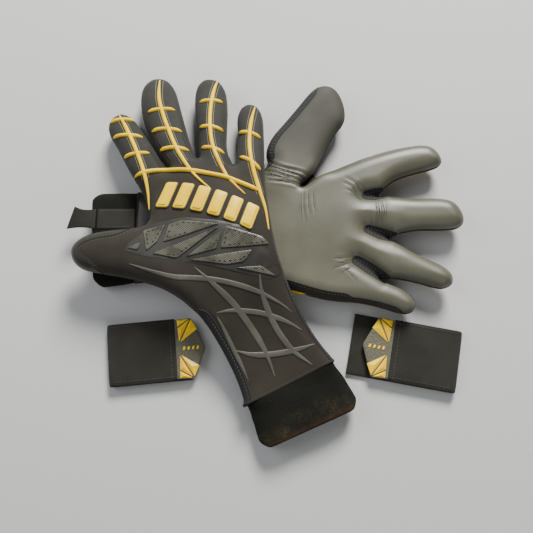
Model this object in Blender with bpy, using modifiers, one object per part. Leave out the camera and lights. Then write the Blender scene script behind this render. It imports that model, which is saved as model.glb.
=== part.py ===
"""A pair of goalkeeper gloves and their two detachable wrist straps, laid out on a flat surface.

The left glove lies palm up with its fingers towards +X. The right glove lies back up across the
left one's wrist, with its fingers towards +Y. A wrist strap lies folded at either side.
Sizes are written in millimetres, and MM turns them into Blender's metres. +Z is up.
"""

import math

import bmesh
import bpy
from mathutils import Matrix, Vector

MM = 0.001
UP = Vector((0, 0, 1))

# Cloth, foam and rubber thicknesses
LATEX_WALL = 3.0
BACK_WALL = 2.4
CUFF_WALL = 2.2
POLE_OFFSET = 1.7    # of the end of a fingertip's half from the middle plane
PANEL_GAP = 1.8      # between the palm side and the back of one sleeve
PIECE_GAP = 0.45     # between a flat trim piece and the cloth under it
RIB_GAP = 1.1        # between a rib and the cloth it bends over
RIB_RADIUS = 1.3
WEB_RADIUS = 0.7
PATCH_THICKNESS = {"punch_strip": 1.9, "shard_panel": 0.8}
PATCH_GAP = 0.7

# Cross-sections: 2 is an ellipse, and more is squarer
HAND_POWER = 3.0
FINGER_POWER = 2.2

# Mesh fineness
HAND_ROWS = 9
HAND_SIDES = 12      # of one half of a hand sleeve
RIM_STEP = 3         # degrees of the narrow first and last strips of a half sleeve
FINGER_ROWS = 5
TIP_ROWS = 3
FINGER_SIDES = 6     # of one half of a finger
CUFF_SIDES = 20

# Finger widths and heights, shared by both gloves
FINGER_HALF_WIDTH = {"thumb": 16.5, "index": 12.0, "middle": 12.5, "ring": 12.2, "little": 10.8}
FINGER_HALF_HEIGHT = {"thumb": 10.2, "index": 9.6, "middle": 10.0, "ring": 9.8, "little": 9.2}
RIBBED_FINGERS = ("index", "middle", "ring", "little")
CROSSBARS = {"index": 4, "middle": 3, "ring": 3, "little": 2}

# Where the trim lies on the hand's back: along from the cuff seam (0) to the knuckles (1), and
# around in degrees from the thumb side (0) over the back (90)
PUNCH_AREA = {"along": (0.76, 0.88), "around": (40, 140)}
SHARD_AREA = {"along": (0.50, 0.70), "around": (32, 148)}
KNUCKLE_RIB_ALONG = 0.93
KNUCKLE_RIB_AROUND = (20, 160)
KNUCKLE_TAILS = (38, 68, 104, 138)
KNUCKLE_TAIL_LENGTH = 0.03
WEB_ALONG = (0.10, 0.27, 0.44)
WEB_AROUND = (35, 145)
WEB_RAYS = (58, 92, 126)

# Routes are knots of x, y, z, half width and half height, from the cuff seam to the knuckles
GLOVES = {
    "right": {
        "back": 1,
        "hand": [
            (17.1, -99.3, 10.4, 37, 6.8),
            (-6, -59, 16.0, 33.5, 8.0),
            (-21, -33, 27.5, 38, 9.0),
            (-34, -8, 33.5, 44, 10.0),
            (-46, 28, 34.0, 48.5, 10.5),
            (-57, 68, 30.0, 52, 10.0),
        ],
        "cuff": [
            (37, -139, 10.4, 38.5, 6.8),
            (27.5, -120, 10.4, 38.5, 6.8),
            (18.6, -102.3, 10.4, 37.5, 6.8),
        ],
        "skew": 7.7,
        "bow": 15.8,
        "fingers": {
            "thumb": [(-86, -13, 33.0), (-114, -9.5, 30.5), (-153, -4, 27.0)],
            "index": [(-98.5, 60, 28.5), (-111, 92, 20.0), (-123, 123, 10.6)],
            "middle": [(-71.5, 72, 29.5), (-83, 113, 21.0), (-93, 155, 10.4)],
            "ring": [(-41.5, 73, 29.5), (-45.5, 114, 21.0), (-47, 155, 10.4)],
            "little": [(-14.5, 68, 28.5), (-16, 99, 20.0), (-16, 132, 10.4)],
        },
        "thumb_skew": -11.0,
        "tab": {"outside": False, "across": 0},
    },
    "left": {
        "back": -1,
        "hand": [
            (-102.4, 15, 9.5, 38, 6.5),
            (-62, 16, 9.9, 34.5, 7.0),
            (-21, 18, 11.0, 37, 8.0),
            (8, 20, 12.5, 43, 9.0),
            (35, 18.5, 14.0, 42.5, 10.0),
            (60, 19, 14.4, 50, 10.4),
            (81, 19.5, 14.4, 51, 10.4),
        ],
        "cuff": [(-141, 15, 9.5, 38.5, 6.5), (-122, 15, 9.5, 38.5, 6.5), (-104.6, 15, 9.5, 38.2, 6.5)],
        "skew": 14.0,
        "bow": 21.6,
        "fingers": {
            "thumb": [(16.5, 66.0, 13.8), (35, 107, 13.6), (52, 147, 13.2)],
            "index": [(81, 62.5, 14.4), (113, 73, 14.4), (145.5, 81, 14.4)],
            "middle": [(85.5, 31, 14.4), (122, 31, 14.4), (161, 29, 14.4)],
            "ring": [(80.5, 0.5, 14.4), (115, -11, 14.4), (148, -24, 14.4)],
            "little": [(62.5, -24, 14.4), (90, -36, 14.4), (118, -46, 14.4)],
        },
        "thumb_skew": -7.0,
        "tab": {"outside": True, "across": 15},
    },
}

PULL_TAB = {"length": 21, "width": 17, "thickness": 1.6, "tape_length": 30, "tape_thickness": 1.2}

# Wrist straps: an elastic band folded once, with a rubber end tab on its upper layer
STRAP_WIDTH = 49
STRAP_LAYER = 3.0
STRAP_UPPER_LENGTH = 54
STRAP_FOLD_GAP = 0.5
HOOK = {"length": 17, "width": 38, "thickness": 0.9}
TAB = {"shoulder": 12.5, "reach": 22.5, "thickness": 2.8, "facet_height": 1.0}
STRAPS = {
    "right": {"fold": (-125, -81.5), "heading": 5.5, "lower_length": 65},
    "left": {"fold": (151.5, -86.5), "heading": 169.5, "lower_length": 86},
}

MATERIALS = {
    "latex": ((0.17, 0.17, 0.145), 0.55, 0.0),
    "backing": ((0.045, 0.040, 0.034), 0.8, 0.0),
    "knit": ((0.012, 0.013, 0.012), 0.9, 0.0),
    "gold": ((0.80, 0.55, 0.16), 0.4, 0.0),
    "film": ((0.16, 0.16, 0.14), 0.35, 0.0),
    "elastic": ((0.030, 0.030, 0.024), 0.9, 0.0),
    "rubber": ((0.12, 0.115, 0.10), 0.6, 0.0),
    "hook": ((0.02, 0.02, 0.02), 0.9, 0.0),
}


# ---------------------------------------------------------------- helpers
def clear_scene():
    for obj in list(bpy.data.objects):
        bpy.data.objects.remove(obj)


def material(name):
    """The Principled material of that name, made at its first use."""
    found = bpy.data.materials.get(name)
    if found:
        return found
    colour, roughness, metallic = MATERIALS[name]
    made = bpy.data.materials.new(name)
    made.use_nodes = True
    shader = made.node_tree.nodes["Principled BSDF"]
    shader.inputs["Base Color"].default_value = (*colour, 1)
    shader.inputs["Roughness"].default_value = roughness
    shader.inputs["Metallic"].default_value = metallic
    return made


def smooth_value(knots, t):
    """A Catmull-Rom curve through the knots, for t from 0 to 1, as a list of numbers."""
    place = max(0.0, min(1.0, t)) * (len(knots) - 1)
    i = min(int(place), len(knots) - 2)
    f = place - i
    b, c = knots[i], knots[i + 1]
    a = knots[i - 1] if i > 0 else [2 * p - q for p, q in zip(b, c)]
    d = knots[i + 2] if i + 2 < len(knots) else [2 * q - p for p, q in zip(b, c)]
    return [
        0.5 * (2 * q + (r - p) * f + (2 * p - 5 * q + 4 * r - s) * f * f + (3 * q - p - 3 * r + s) * f**3)
        for p, q, r, s in zip(a, b, c, d)
    ]


def signed_power(value, exponent):
    return math.copysign(abs(value) ** exponent, value)


class Sleeve:
    """A flattened tube of cloth along a smooth route. Its angles run from the thumb side (0) over
    the back of the hand (90) to the other side (180); the palm side is at -90."""

    def __init__(self, knots, back, power, skew=0.0, bow=0.0, skew_fades=False, tip_share=0.0):
        self.knots = knots
        self.back = back
        self.power = power
        self.skew = skew
        self.bow = bow
        self.skew_fades = skew_fades
        self.tip_share = tip_share

    def section(self, along):
        """Centre, forward, thumbward and backward directions, half width and half height."""
        x, y, z, half_width, half_height = smooth_value(self.knots, along)
        step = 0.01
        before = Vector(smooth_value(self.knots, along - step)[:3])
        after = Vector(smooth_value(self.knots, along + step)[:3])
        forward = (after - before).normalized()
        thumbward = UP.cross(forward).normalized()
        backward = forward.cross(thumbward) * self.back
        return Vector((x, y, z)), forward, thumbward, backward, half_width, half_height

    def tip_scale(self, along):
        """1 along the tube, falling to 0 at the end of a rounded tip."""
        if not self.tip_share or along <= 1 - self.tip_share:
            return 1.0
        into = (along - (1 - self.tip_share)) / self.tip_share
        return math.sqrt(max(0.0, 1 - into * into))

    def point(self, along, around, lift=0.0):
        """The surface point at that place, moved outwards by lift."""
        centre, forward, thumbward, backward, half_width, half_height = self.section(along)
        scale = self.tip_scale(along)
        angle = math.radians(around)
        across = signed_power(math.cos(angle), 2 / self.power)
        over = signed_power(math.sin(angle), 2 / self.power)
        fade = (1 - along) ** 2 if self.skew_fades else along**1.5
        reach = fade * (self.skew * across - self.bow * across * across)
        normal = (
            thumbward * (signed_power(across, self.power - 1) / half_width)
            + backward * (signed_power(over, self.power - 1) / half_height)
        ).normalized()
        return (
            centre
            + forward * reach
            + thumbward * (across * half_width * scale)
            + backward * (over * half_height * scale)
            + normal * lift
        )

    def edge_angle(self, along, gap):
        """The angle at which the surface is half the gap away from the middle plane."""
        half_height = self.section(along)[5] * self.tip_scale(along)
        return math.degrees(math.asin(min(0.9, (gap / 2 / half_height) ** (self.power / 2))))


def face_outwards(mesh, middle):
    """Turns the faces round if most of them face the middle of the shape."""
    outwards = 0
    for face in mesh.faces:
        outwards += face.normal.dot(face.calc_center_median() - middle) * face.calc_area()
    if outwards < 0:
        bmesh.ops.reverse_faces(mesh, faces=mesh.faces)


def finish_mesh(mesh, name, material_name, collection):
    """Makes the bmesh, whose points are in millimetres, into a named object."""
    bmesh.ops.scale(mesh, vec=(MM, MM, MM), verts=mesh.verts)
    data = bpy.data.meshes.new(name)
    mesh.to_mesh(data)
    mesh.free()
    data.materials.append(material(material_name))
    data.shade_smooth()
    obj = bpy.data.objects.new(name, data)
    collection.objects.link(obj)
    return obj


def grid_surface(rows, closed=False, pole=None):
    """An open surface through rows of points, each joined to the next, with a fan to the pole."""
    mesh = bmesh.new()
    lines = [[mesh.verts.new(point) for point in row] for row in rows]
    count = len(lines[0])
    spans = range(count if closed else count - 1)
    for first, second in zip(lines, lines[1:]):
        for k in spans:
            following = (k + 1) % count
            mesh.faces.new((first[k], first[following], second[following], second[k]))
    if pole is not None:
        end = mesh.verts.new(pole)
        for k in spans:
            mesh.faces.new((lines[-1][k], lines[-1][(k + 1) % count], end))
    mesh.normal_update()
    middle = sum((vert.co for vert in mesh.verts), Vector()) / len(mesh.verts)
    return mesh, middle


def thicken(obj, thickness, outwards=False):
    """Gives an open surface its wall with Solidify, inwards unless it is asked for outwards."""
    wall = obj.modifiers.new("wall", "SOLIDIFY")
    wall.thickness = thickness * MM
    wall.offset = 1 if outwards else -1
    return obj


# ---------------------------------------------------------------- pieces of a glove
def half_sleeve(name, sleeve, side, wall, sides, alongs, material_name, collection):
    """One half of a sleeve: side 1 is the back of the hand, and -1 is the palm."""
    rows = []
    for along in alongs:
        edge = sleeve.edge_angle(along, PANEL_GAP)
        first, last = edge + RIM_STEP, 180 - edge - RIM_STEP
        arounds = [edge, *spread(first, last, sides - 1), 180 - edge]
        rows.append([sleeve.point(along, side * around) for around in arounds])
    pole = None
    if sleeve.tip_share:
        centre, _, _, backward, _, _ = sleeve.section(1.0)
        pole = centre + backward * (side * POLE_OFFSET)
    mesh, _ = grid_surface(rows, pole=pole)
    inside = sum((sleeve.section(along)[0] for along in alongs), Vector()) / len(alongs)
    face_outwards(mesh, inside)
    return thicken(finish_mesh(mesh, name, material_name, collection), wall)


def spread(first, last, count):
    return [first + (last - first) * k / (count - 1) for k in range(count)]


def hand_alongs():
    return spread(0, 1, HAND_ROWS)


def finger_alongs(sleeve):
    """Even rows along the finger, then rows that close up round its tip."""
    straight = spread(0, 1 - sleeve.tip_share, FINGER_ROWS)
    rises = [math.sin(math.pi / 2 * k / (TIP_ROWS + 1)) for k in range(1, TIP_ROWS + 1)]
    tip = [1 - sleeve.tip_share * (1 - rise) for rise in rises]
    return straight + tip


def finger_sleeve(glove, finger):
    """The sleeve of one finger, which narrows a little towards its round tip."""
    half_width, half_height = FINGER_HALF_WIDTH[finger], FINGER_HALF_HEIGHT[finger]
    route = glove["fingers"][finger]
    widths = (1.0, 1.03, 0.92)
    knots = [(*place, half_width * share, half_height * share) for place, share in zip(route, widths)]
    length = (Vector(route[0]) - Vector(route[-1])).length
    return Sleeve(
        knots,
        glove["back"],
        FINGER_POWER,
        skew=glove["thumb_skew"] if finger == "thumb" else 0.0,
        skew_fades=True,
        tip_share=half_width / length,
    )


def cuff(side, glove, collection):
    """The knitted elastic cuff, a flat tube that is open at both ends."""
    sleeve = Sleeve(glove["cuff"], glove["back"], HAND_POWER)
    rows = [[sleeve.point(along, 360 * k / CUFF_SIDES) for k in range(CUFF_SIDES)] for along in (0, 0.5, 1)]
    mesh, middle = grid_surface(rows, closed=True)
    face_outwards(mesh, middle)
    return thicken(finish_mesh(mesh, f"{side}_cuff", "knit", collection), CUFF_WALL), sleeve


def bead(points, radius, sides_level):
    """A mesh tube along the points, made from a curve with a round bevel and closed ends."""
    curve = bpy.data.curves.new("bead", "CURVE")
    curve.dimensions = "3D"
    curve.bevel_depth = radius * MM
    curve.bevel_resolution = sides_level
    curve.use_fill_caps = True
    spline = curve.splines.new("POLY")
    spline.points.add(len(points) - 1)
    for target, place in zip(spline.points, points):
        target.co = (*(place * MM), 1)
    guide = bpy.data.objects.new("bead", curve)
    bpy.context.scene.collection.objects.link(guide)
    bpy.context.view_layer.update()
    data = bpy.data.meshes.new_from_object(guide.evaluated_get(bpy.context.evaluated_depsgraph_get()))
    bpy.data.objects.remove(guide)
    mesh = bmesh.new()
    mesh.from_mesh(data)
    bmesh.ops.remove_doubles(mesh, verts=mesh.verts, dist=0.00001)
    mesh.to_mesh(data)
    mesh.free()
    return data


def bead_network(name, paths, radius, sides_level, material_name, collection, cutters):
    """Crossing beads joined into one piece, the first of them by Boolean unions with the others."""
    data = bead(paths[0], radius, sides_level)
    data.materials.append(material(material_name))
    obj = bpy.data.objects.new(name, data)
    collection.objects.link(obj)
    for path in paths[1:]:
        other = bpy.data.objects.new(f"{name}_branch", bead(path, radius, sides_level))
        other.hide_render = True
        other.display_type = "WIRE"
        cutters.objects.link(other)
        join = obj.modifiers.new("branch", "BOOLEAN")
        join.operation = "UNION"
        join.object = other
    return obj


def finger_rib(side, finger, sleeve, collection, cutters):
    """The raised spine along a finger's back and the crossbars over it."""
    lift = RIB_GAP + RIB_RADIUS
    last = 1 - sleeve.tip_share * 0.35
    paths = [[sleeve.point(along, 90, lift) for along in spread(0.03, last, 8)]]
    for along in spread(0.16, 1 - sleeve.tip_share * 1.15, CROSSBARS[finger]):
        paths.append([sleeve.point(along, around, lift) for around in spread(46, 134, 5)])
    return bead_network(f"{side}_{finger}_rib", paths, RIB_RADIUS, 1, "gold", collection, cutters)


def knuckle_rib(side, sleeve, collection, cutters):
    """The rib across the knuckles, with the tails of the four finger ribs."""
    lift = RIB_GAP + RIB_RADIUS
    first, last = KNUCKLE_RIB_AROUND
    paths = [[sleeve.point(KNUCKLE_RIB_ALONG, around, lift) for around in spread(first, last, 12)]]
    for around in KNUCKLE_TAILS:
        low, high = KNUCKLE_RIB_ALONG - KNUCKLE_TAIL_LENGTH, KNUCKLE_RIB_ALONG + KNUCKLE_TAIL_LENGTH
        paths.append([sleeve.point(along, around, lift) for along in spread(low, high, 4)])
    return bead_network(f"{side}_knuckle_rib", paths, RIB_RADIUS, 1, "gold", collection, cutters)


def wrist_web(side, sleeve, collection, cutters):
    """The net of raised lines over the wrist: three hoops and three long rays."""
    lift = RIB_GAP + WEB_RADIUS
    first, last = WEB_AROUND
    low, high = WEB_ALONG[0] - 0.05, WEB_ALONG[-1] + 0.04
    paths = []
    for hoop in WEB_ALONG:
        paths.append([sleeve.point(hoop, around, lift) for around in spread(first, last, 9)])
    for ray in WEB_RAYS:
        paths.append([sleeve.point(along, ray, lift) for along in spread(low, high, 7)])
    order = [paths[0], paths[3], paths[1], paths[2], paths[4], paths[5]]
    return bead_network(f"{side}_wrist_web", order, WEB_RADIUS, 0, "film", collection, cutters)


def patch(side, kind, sleeve, area, material_name, collection):
    """A thin panel that follows the hand's back over the given area."""
    alongs = spread(*area["along"], 4)
    arounds = spread(*area["around"], 13)
    rows = [[sleeve.point(along, around, PATCH_GAP) for around in arounds] for along in alongs]
    mesh, _ = grid_surface(rows)
    face_outwards(mesh, sleeve.section(sum(alongs) / len(alongs))[0])
    obj = finish_mesh(mesh, f"{side}_{kind}", material_name, collection)
    return thicken(obj, PATCH_THICKNESS[kind], outwards=True)


def box_between(name, frame, low, high, material_name, collection, bevel=0.0):
    """A box between two corners of a local frame, as a cube whose scale is in its mesh."""
    mesh = bmesh.new()
    bmesh.ops.create_cube(mesh, size=1)
    size = [b - a for a, b in zip(low, high)]
    middle = [(a + b) / 2 for a, b in zip(low, high)]
    bmesh.ops.scale(mesh, vec=size, verts=mesh.verts)
    bmesh.ops.translate(mesh, vec=middle, verts=mesh.verts)
    bmesh.ops.transform(mesh, matrix=frame, verts=mesh.verts)
    obj = finish_mesh(mesh, name, material_name, collection)
    if bevel:
        edge = obj.modifiers.new("edge", "BEVEL")
        edge.width = bevel * MM
        edge.segments = 1
    obj.data.set_sharp_from_angle(angle=math.radians(30))
    return obj


def frame_at(origin, heading_degrees):
    return Matrix.Translation(Vector(origin)) @ Matrix.Rotation(math.radians(heading_degrees), 4, "Z")


def pull_tab(side, glove, sleeve, collection):
    """The pull tab at the cuff's palm side and the tape that sews it on, and where it hinges."""
    centre, forward, thumbward, _, _, half_height = sleeve.section(0)
    centre += thumbward * glove["tab"]["across"]
    heading = math.degrees(math.atan2(forward.y, forward.x))
    palm = -glove["back"]
    half = PULL_TAB["width"] / 2
    tape_low = half_height + PIECE_GAP
    tape_high = tape_low + PULL_TAB["tape_thickness"]
    tape_z = sorted((palm * tape_low, palm * tape_high))
    frame = frame_at(centre, heading)
    tape = (4, 4 + PULL_TAB["tape_length"])
    made = [
        box_between(
            f"{side}_pull_tape",
            frame,
            (tape[0], -half, tape_z[0]),
            (tape[1], half, tape_z[1]),
            "elastic",
            collection,
        )
    ]
    hinge_x = tape[0] - 1.0
    if glove["tab"]["outside"]:
        reach = (hinge_x - 0.6 - PULL_TAB["length"], hinge_x - 0.6)
        tab_z = sorted((palm * (tape_low), palm * (tape_low + PULL_TAB["thickness"])))
    else:
        reach = (hinge_x + 0.6, hinge_x + 0.6 + PULL_TAB["length"])
        under = tape_high + 0.35
        tab_z = sorted((palm * under, palm * (under + PULL_TAB["thickness"])))
    made.append(
        box_between(
            f"{side}_pull_tab",
            frame,
            (reach[0], -half, tab_z[0]),
            (reach[1], half, tab_z[1]),
            "elastic",
            collection,
        )
    )
    hinge = frame @ Vector((hinge_x, 0, sum(tab_z) / 2 if glove["tab"]["outside"] else palm * tape_high))
    return made, hinge


def empty_at(name, place, collection):
    obj = bpy.data.objects.new(name, None)
    obj.location = place * MM
    collection.objects.link(obj)
    return obj


def hang(pieces, parent):
    """Parents the pieces to the empty on their joint's axis and leaves them where they are."""
    bpy.context.view_layer.update()
    for piece in pieces:
        piece.parent = parent
        piece.matrix_parent_inverse = parent.matrix_world.inverted()


def glove_pieces(side, glove, collection, cutters):
    """Everything of one glove, its moving pieces hung on empties at their hinges."""
    hand = Sleeve(glove["hand"], glove["back"], HAND_POWER, skew=glove["skew"], bow=glove["bow"])
    half_sleeve(f"{side}_palm_latex", hand, -1, LATEX_WALL, HAND_SIDES, hand_alongs(), "latex", collection)
    half_sleeve(f"{side}_backhand", hand, 1, BACK_WALL, HAND_SIDES, hand_alongs(), "backing", collection)
    _, cuff_sleeve = cuff(side, glove, collection)
    knuckle_rib(side, hand, collection, cutters)
    wrist_web(side, hand, collection, cutters)
    patch(side, "punch_strip", hand, PUNCH_AREA, "gold", collection)
    patch(side, "shard_panel", hand, SHARD_AREA, "film", collection)
    tab_pieces, tab_hinge = pull_tab(side, glove, cuff_sleeve, collection)
    hang(tab_pieces[1:], empty_at(f"{side}_pull_tab_hinge", tab_hinge, collection))
    for finger in glove["fingers"]:
        sleeve = finger_sleeve(glove, finger)
        alongs = finger_alongs(sleeve)
        names = (f"{side}_{finger}_latex", f"{side}_{finger}_back")
        pieces = [
            half_sleeve(names[0], sleeve, -1, LATEX_WALL, FINGER_SIDES, alongs, "latex", collection),
            half_sleeve(names[1], sleeve, 1, BACK_WALL, FINGER_SIDES, alongs, "backing", collection),
        ]
        if finger in RIBBED_FINGERS:
            pieces.append(finger_rib(side, finger, sleeve, collection, cutters))
        hinge_side = 90 if side == "right" and finger == "thumb" else -90
        hang(pieces, empty_at(f"{side}_{finger}_hinge", sleeve.point(0, hinge_side), collection))


# ---------------------------------------------------------------- wrist straps
def flat_plate(name, outline, frame, low, high, material_name, collection):
    """A flat plate with the given outline between two heights, as one face thickened upwards."""
    mesh = bmesh.new()
    mesh.faces.new([mesh.verts.new(frame @ Vector((x, y, low))) for x, y in outline])
    mesh.normal_update()
    obj = finish_mesh(mesh, name, material_name, collection)
    obj.data.shade_flat()
    return thicken(obj, high - low, outwards=True)


def tab_outline(inset=0.0):
    """The end tab: square against the band, with a blunt point at its free end."""
    half = STRAP_WIDTH / 2 - 0.5 - inset
    shoulder, reach = TAB["shoulder"], TAB["reach"] - inset * 1.2
    turn = shoulder - inset * 0.3
    return [(inset, -half), (turn, -half), (reach, 0), (turn, half), (inset, half)]


def facet_outline():
    """The gold inlay: two fans joined by a slim bar beside the band."""
    half = STRAP_WIDTH / 2 - 1.8
    upper = [(2.4, 4.6), (15.6, 12.6), (11.6, half), (1.0, half)]
    lower = [(x, -y) for x, y in reversed(upper)]
    return [*lower, *upper]


def strap(side, layout, collection):
    """One folded wrist strap: the upper layer, its tab, inlay and hook patch peel open together."""
    frame = frame_at((*layout["fold"], 0), layout["heading"])
    half = STRAP_WIDTH / 2
    hook_low = STRAP_LAYER + PIECE_GAP
    upper_low = hook_low + HOOK["thickness"] + PIECE_GAP
    upper_high = upper_low + STRAP_LAYER
    end = STRAP_UPPER_LENGTH
    box_between(
        f"{side}_strap_lower_band",
        frame,
        (STRAP_FOLD_GAP, -half, 0),
        (layout["lower_length"], half, STRAP_LAYER),
        "elastic",
        collection,
        bevel=0.8,
    )
    upper = box_between(
        f"{side}_strap_upper_band",
        frame,
        (STRAP_FOLD_GAP, -half, upper_low),
        (end, half, upper_high),
        "elastic",
        collection,
        bevel=0.8,
    )
    tab_frame = frame @ Matrix.Translation((end + 0.4, 0, 0))
    tab_high = upper_low + TAB["thickness"]
    facets_low = tab_high + PIECE_GAP
    hook_first = 1.5
    pieces = [
        upper,
        flat_plate(
            f"{side}_strap_end_tab",
            tab_outline(),
            tab_frame,
            upper_low,
            tab_high,
            "rubber",
            collection,
        ),
        flat_plate(
            f"{side}_strap_inlay",
            facet_outline(),
            tab_frame,
            facets_low,
            facets_low + TAB["facet_height"],
            "gold",
            collection,
        ),
        box_between(
            f"{side}_strap_hook_patch",
            tab_frame,
            (hook_first - HOOK["length"] / 2, -HOOK["width"] / 2, hook_low),
            (hook_first + HOOK["length"] / 2, HOOK["width"] / 2, hook_low + HOOK["thickness"]),
            "hook",
            collection,
        ),
    ]
    hinge = frame @ Vector((0, 0, upper_high / 2))
    hang(pieces, empty_at(f"{side}_strap_fold_hinge", hinge, collection))


def main():
    clear_scene()
    gloves = bpy.data.collections.new("goalkeeper_gloves")
    cutters = bpy.data.collections.new("cutters")
    bpy.context.scene.collection.children.link(gloves)
    bpy.context.scene.collection.children.link(cutters)
    for side, glove in GLOVES.items():
        glove_pieces(side, glove, gloves, cutters)
    for side, layout in STRAPS.items():
        strap(side, layout, gloves)


main()
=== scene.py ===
"""The looks of a pair of goalkeeper gloves and their two wrist straps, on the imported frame."""
import math

import bmesh
import bpy
import numpy as np
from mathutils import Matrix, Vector
from mathutils.geometry import delaunay_2d_cdt


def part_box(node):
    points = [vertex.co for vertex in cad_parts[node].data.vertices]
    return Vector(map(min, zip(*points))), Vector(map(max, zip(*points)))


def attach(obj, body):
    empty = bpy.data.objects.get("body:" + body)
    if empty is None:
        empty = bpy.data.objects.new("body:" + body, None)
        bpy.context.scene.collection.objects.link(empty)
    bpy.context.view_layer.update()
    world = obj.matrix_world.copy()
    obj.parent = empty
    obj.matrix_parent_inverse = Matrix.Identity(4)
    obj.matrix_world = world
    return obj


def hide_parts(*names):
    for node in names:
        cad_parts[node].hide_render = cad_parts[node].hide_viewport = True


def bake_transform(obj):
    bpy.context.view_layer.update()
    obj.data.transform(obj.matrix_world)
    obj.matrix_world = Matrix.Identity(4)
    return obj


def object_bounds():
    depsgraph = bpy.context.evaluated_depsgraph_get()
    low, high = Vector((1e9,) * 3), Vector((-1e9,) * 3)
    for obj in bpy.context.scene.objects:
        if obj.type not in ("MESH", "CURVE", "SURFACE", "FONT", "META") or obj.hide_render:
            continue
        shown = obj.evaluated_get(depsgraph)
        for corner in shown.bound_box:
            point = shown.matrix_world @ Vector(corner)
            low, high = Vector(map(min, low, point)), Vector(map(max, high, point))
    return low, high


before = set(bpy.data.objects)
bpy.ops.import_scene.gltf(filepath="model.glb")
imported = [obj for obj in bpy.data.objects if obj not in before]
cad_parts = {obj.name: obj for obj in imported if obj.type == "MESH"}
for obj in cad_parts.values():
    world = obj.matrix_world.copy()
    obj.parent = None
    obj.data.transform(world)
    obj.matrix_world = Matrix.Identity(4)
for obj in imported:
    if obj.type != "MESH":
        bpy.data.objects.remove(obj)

cad_box = [list(corner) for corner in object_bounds()]
MM = 0.001
CELL = 1.15  # millimetres between the points of the gloves' skin
FINGERS = ("thumb", "index", "middle", "ring", "little")
LAMPS = {  # place, size, watts and colour
    "key": ((0.36, 1.30, 1.05), 0.70, 62, (1, 0.985, 0.94)),
    "fill": ((-0.75, 0.15, 0.75), 0.8, 4.0, (0.95, 0.975, 1)),
    "low": ((0.35, -0.8, 0.6), 0.8, 2.5, (1, 1, 1)),
}
FLOOR_GAP = 0.0004
VIEW_TARGET = (0, -0.011, 0.015)
VIEW_ELEVATION = math.radians(75)
VIEW_DISTANCE = 0.592
UP = (0, 0, 1)


# ---------------------------------------------------------------- camera, light, floor
def aim(obj, place, target):
    """Adds a camera or lamp at the place, facing the target."""
    obj.location = place
    obj.rotation_euler = (Vector(target) - Vector(place)).to_track_quat("-Z", "Y").to_euler()
    bpy.context.scene.collection.objects.link(obj)


def setup_camera():
    camera = bpy.data.objects.new("camera", bpy.data.cameras.new("camera"))
    camera.data.lens = 50
    camera.data.sensor_width = 36
    away = Vector((0, -math.cos(VIEW_ELEVATION), math.sin(VIEW_ELEVATION)))
    aim(camera, Vector(VIEW_TARGET) + away * VIEW_DISTANCE, VIEW_TARGET)
    bpy.context.scene.camera = camera


def setup_stage():
    world = bpy.data.worlds.new("studio")
    world.use_nodes = True
    world.node_tree.nodes["Background"].inputs["Color"].default_value = (0.93, 0.95, 1.0, 1)
    world.node_tree.nodes["Background"].inputs["Strength"].default_value = 0.17
    bpy.context.scene.world = world
    for name, (place, size, watts, colour) in LAMPS.items():
        light = bpy.data.lights.new(name, "AREA")
        light.shape, light.size, light.energy, light.color = "DISK", size, watts, colour
        aim(bpy.data.objects.new(name, light), place, (0, 0, 0))
    mesh = bmesh.new()
    bmesh.ops.create_grid(mesh, x_segments=2, y_segments=2, size=3.0)
    data = bpy.data.meshes.new("floor")
    mesh.to_mesh(data)
    mesh.free()
    floor = bpy.data.objects.new("floor", data)
    floor.location.z = cad_box[0][2] - FLOOR_GAP
    paint = Nodes("floor")
    paint.set_shader({"Base Color": (0.55, 0.55, 0.545), "Roughness": 0.8})
    data.materials.append(paint.material)
    bpy.context.scene.collection.objects.link(floor)


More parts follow.
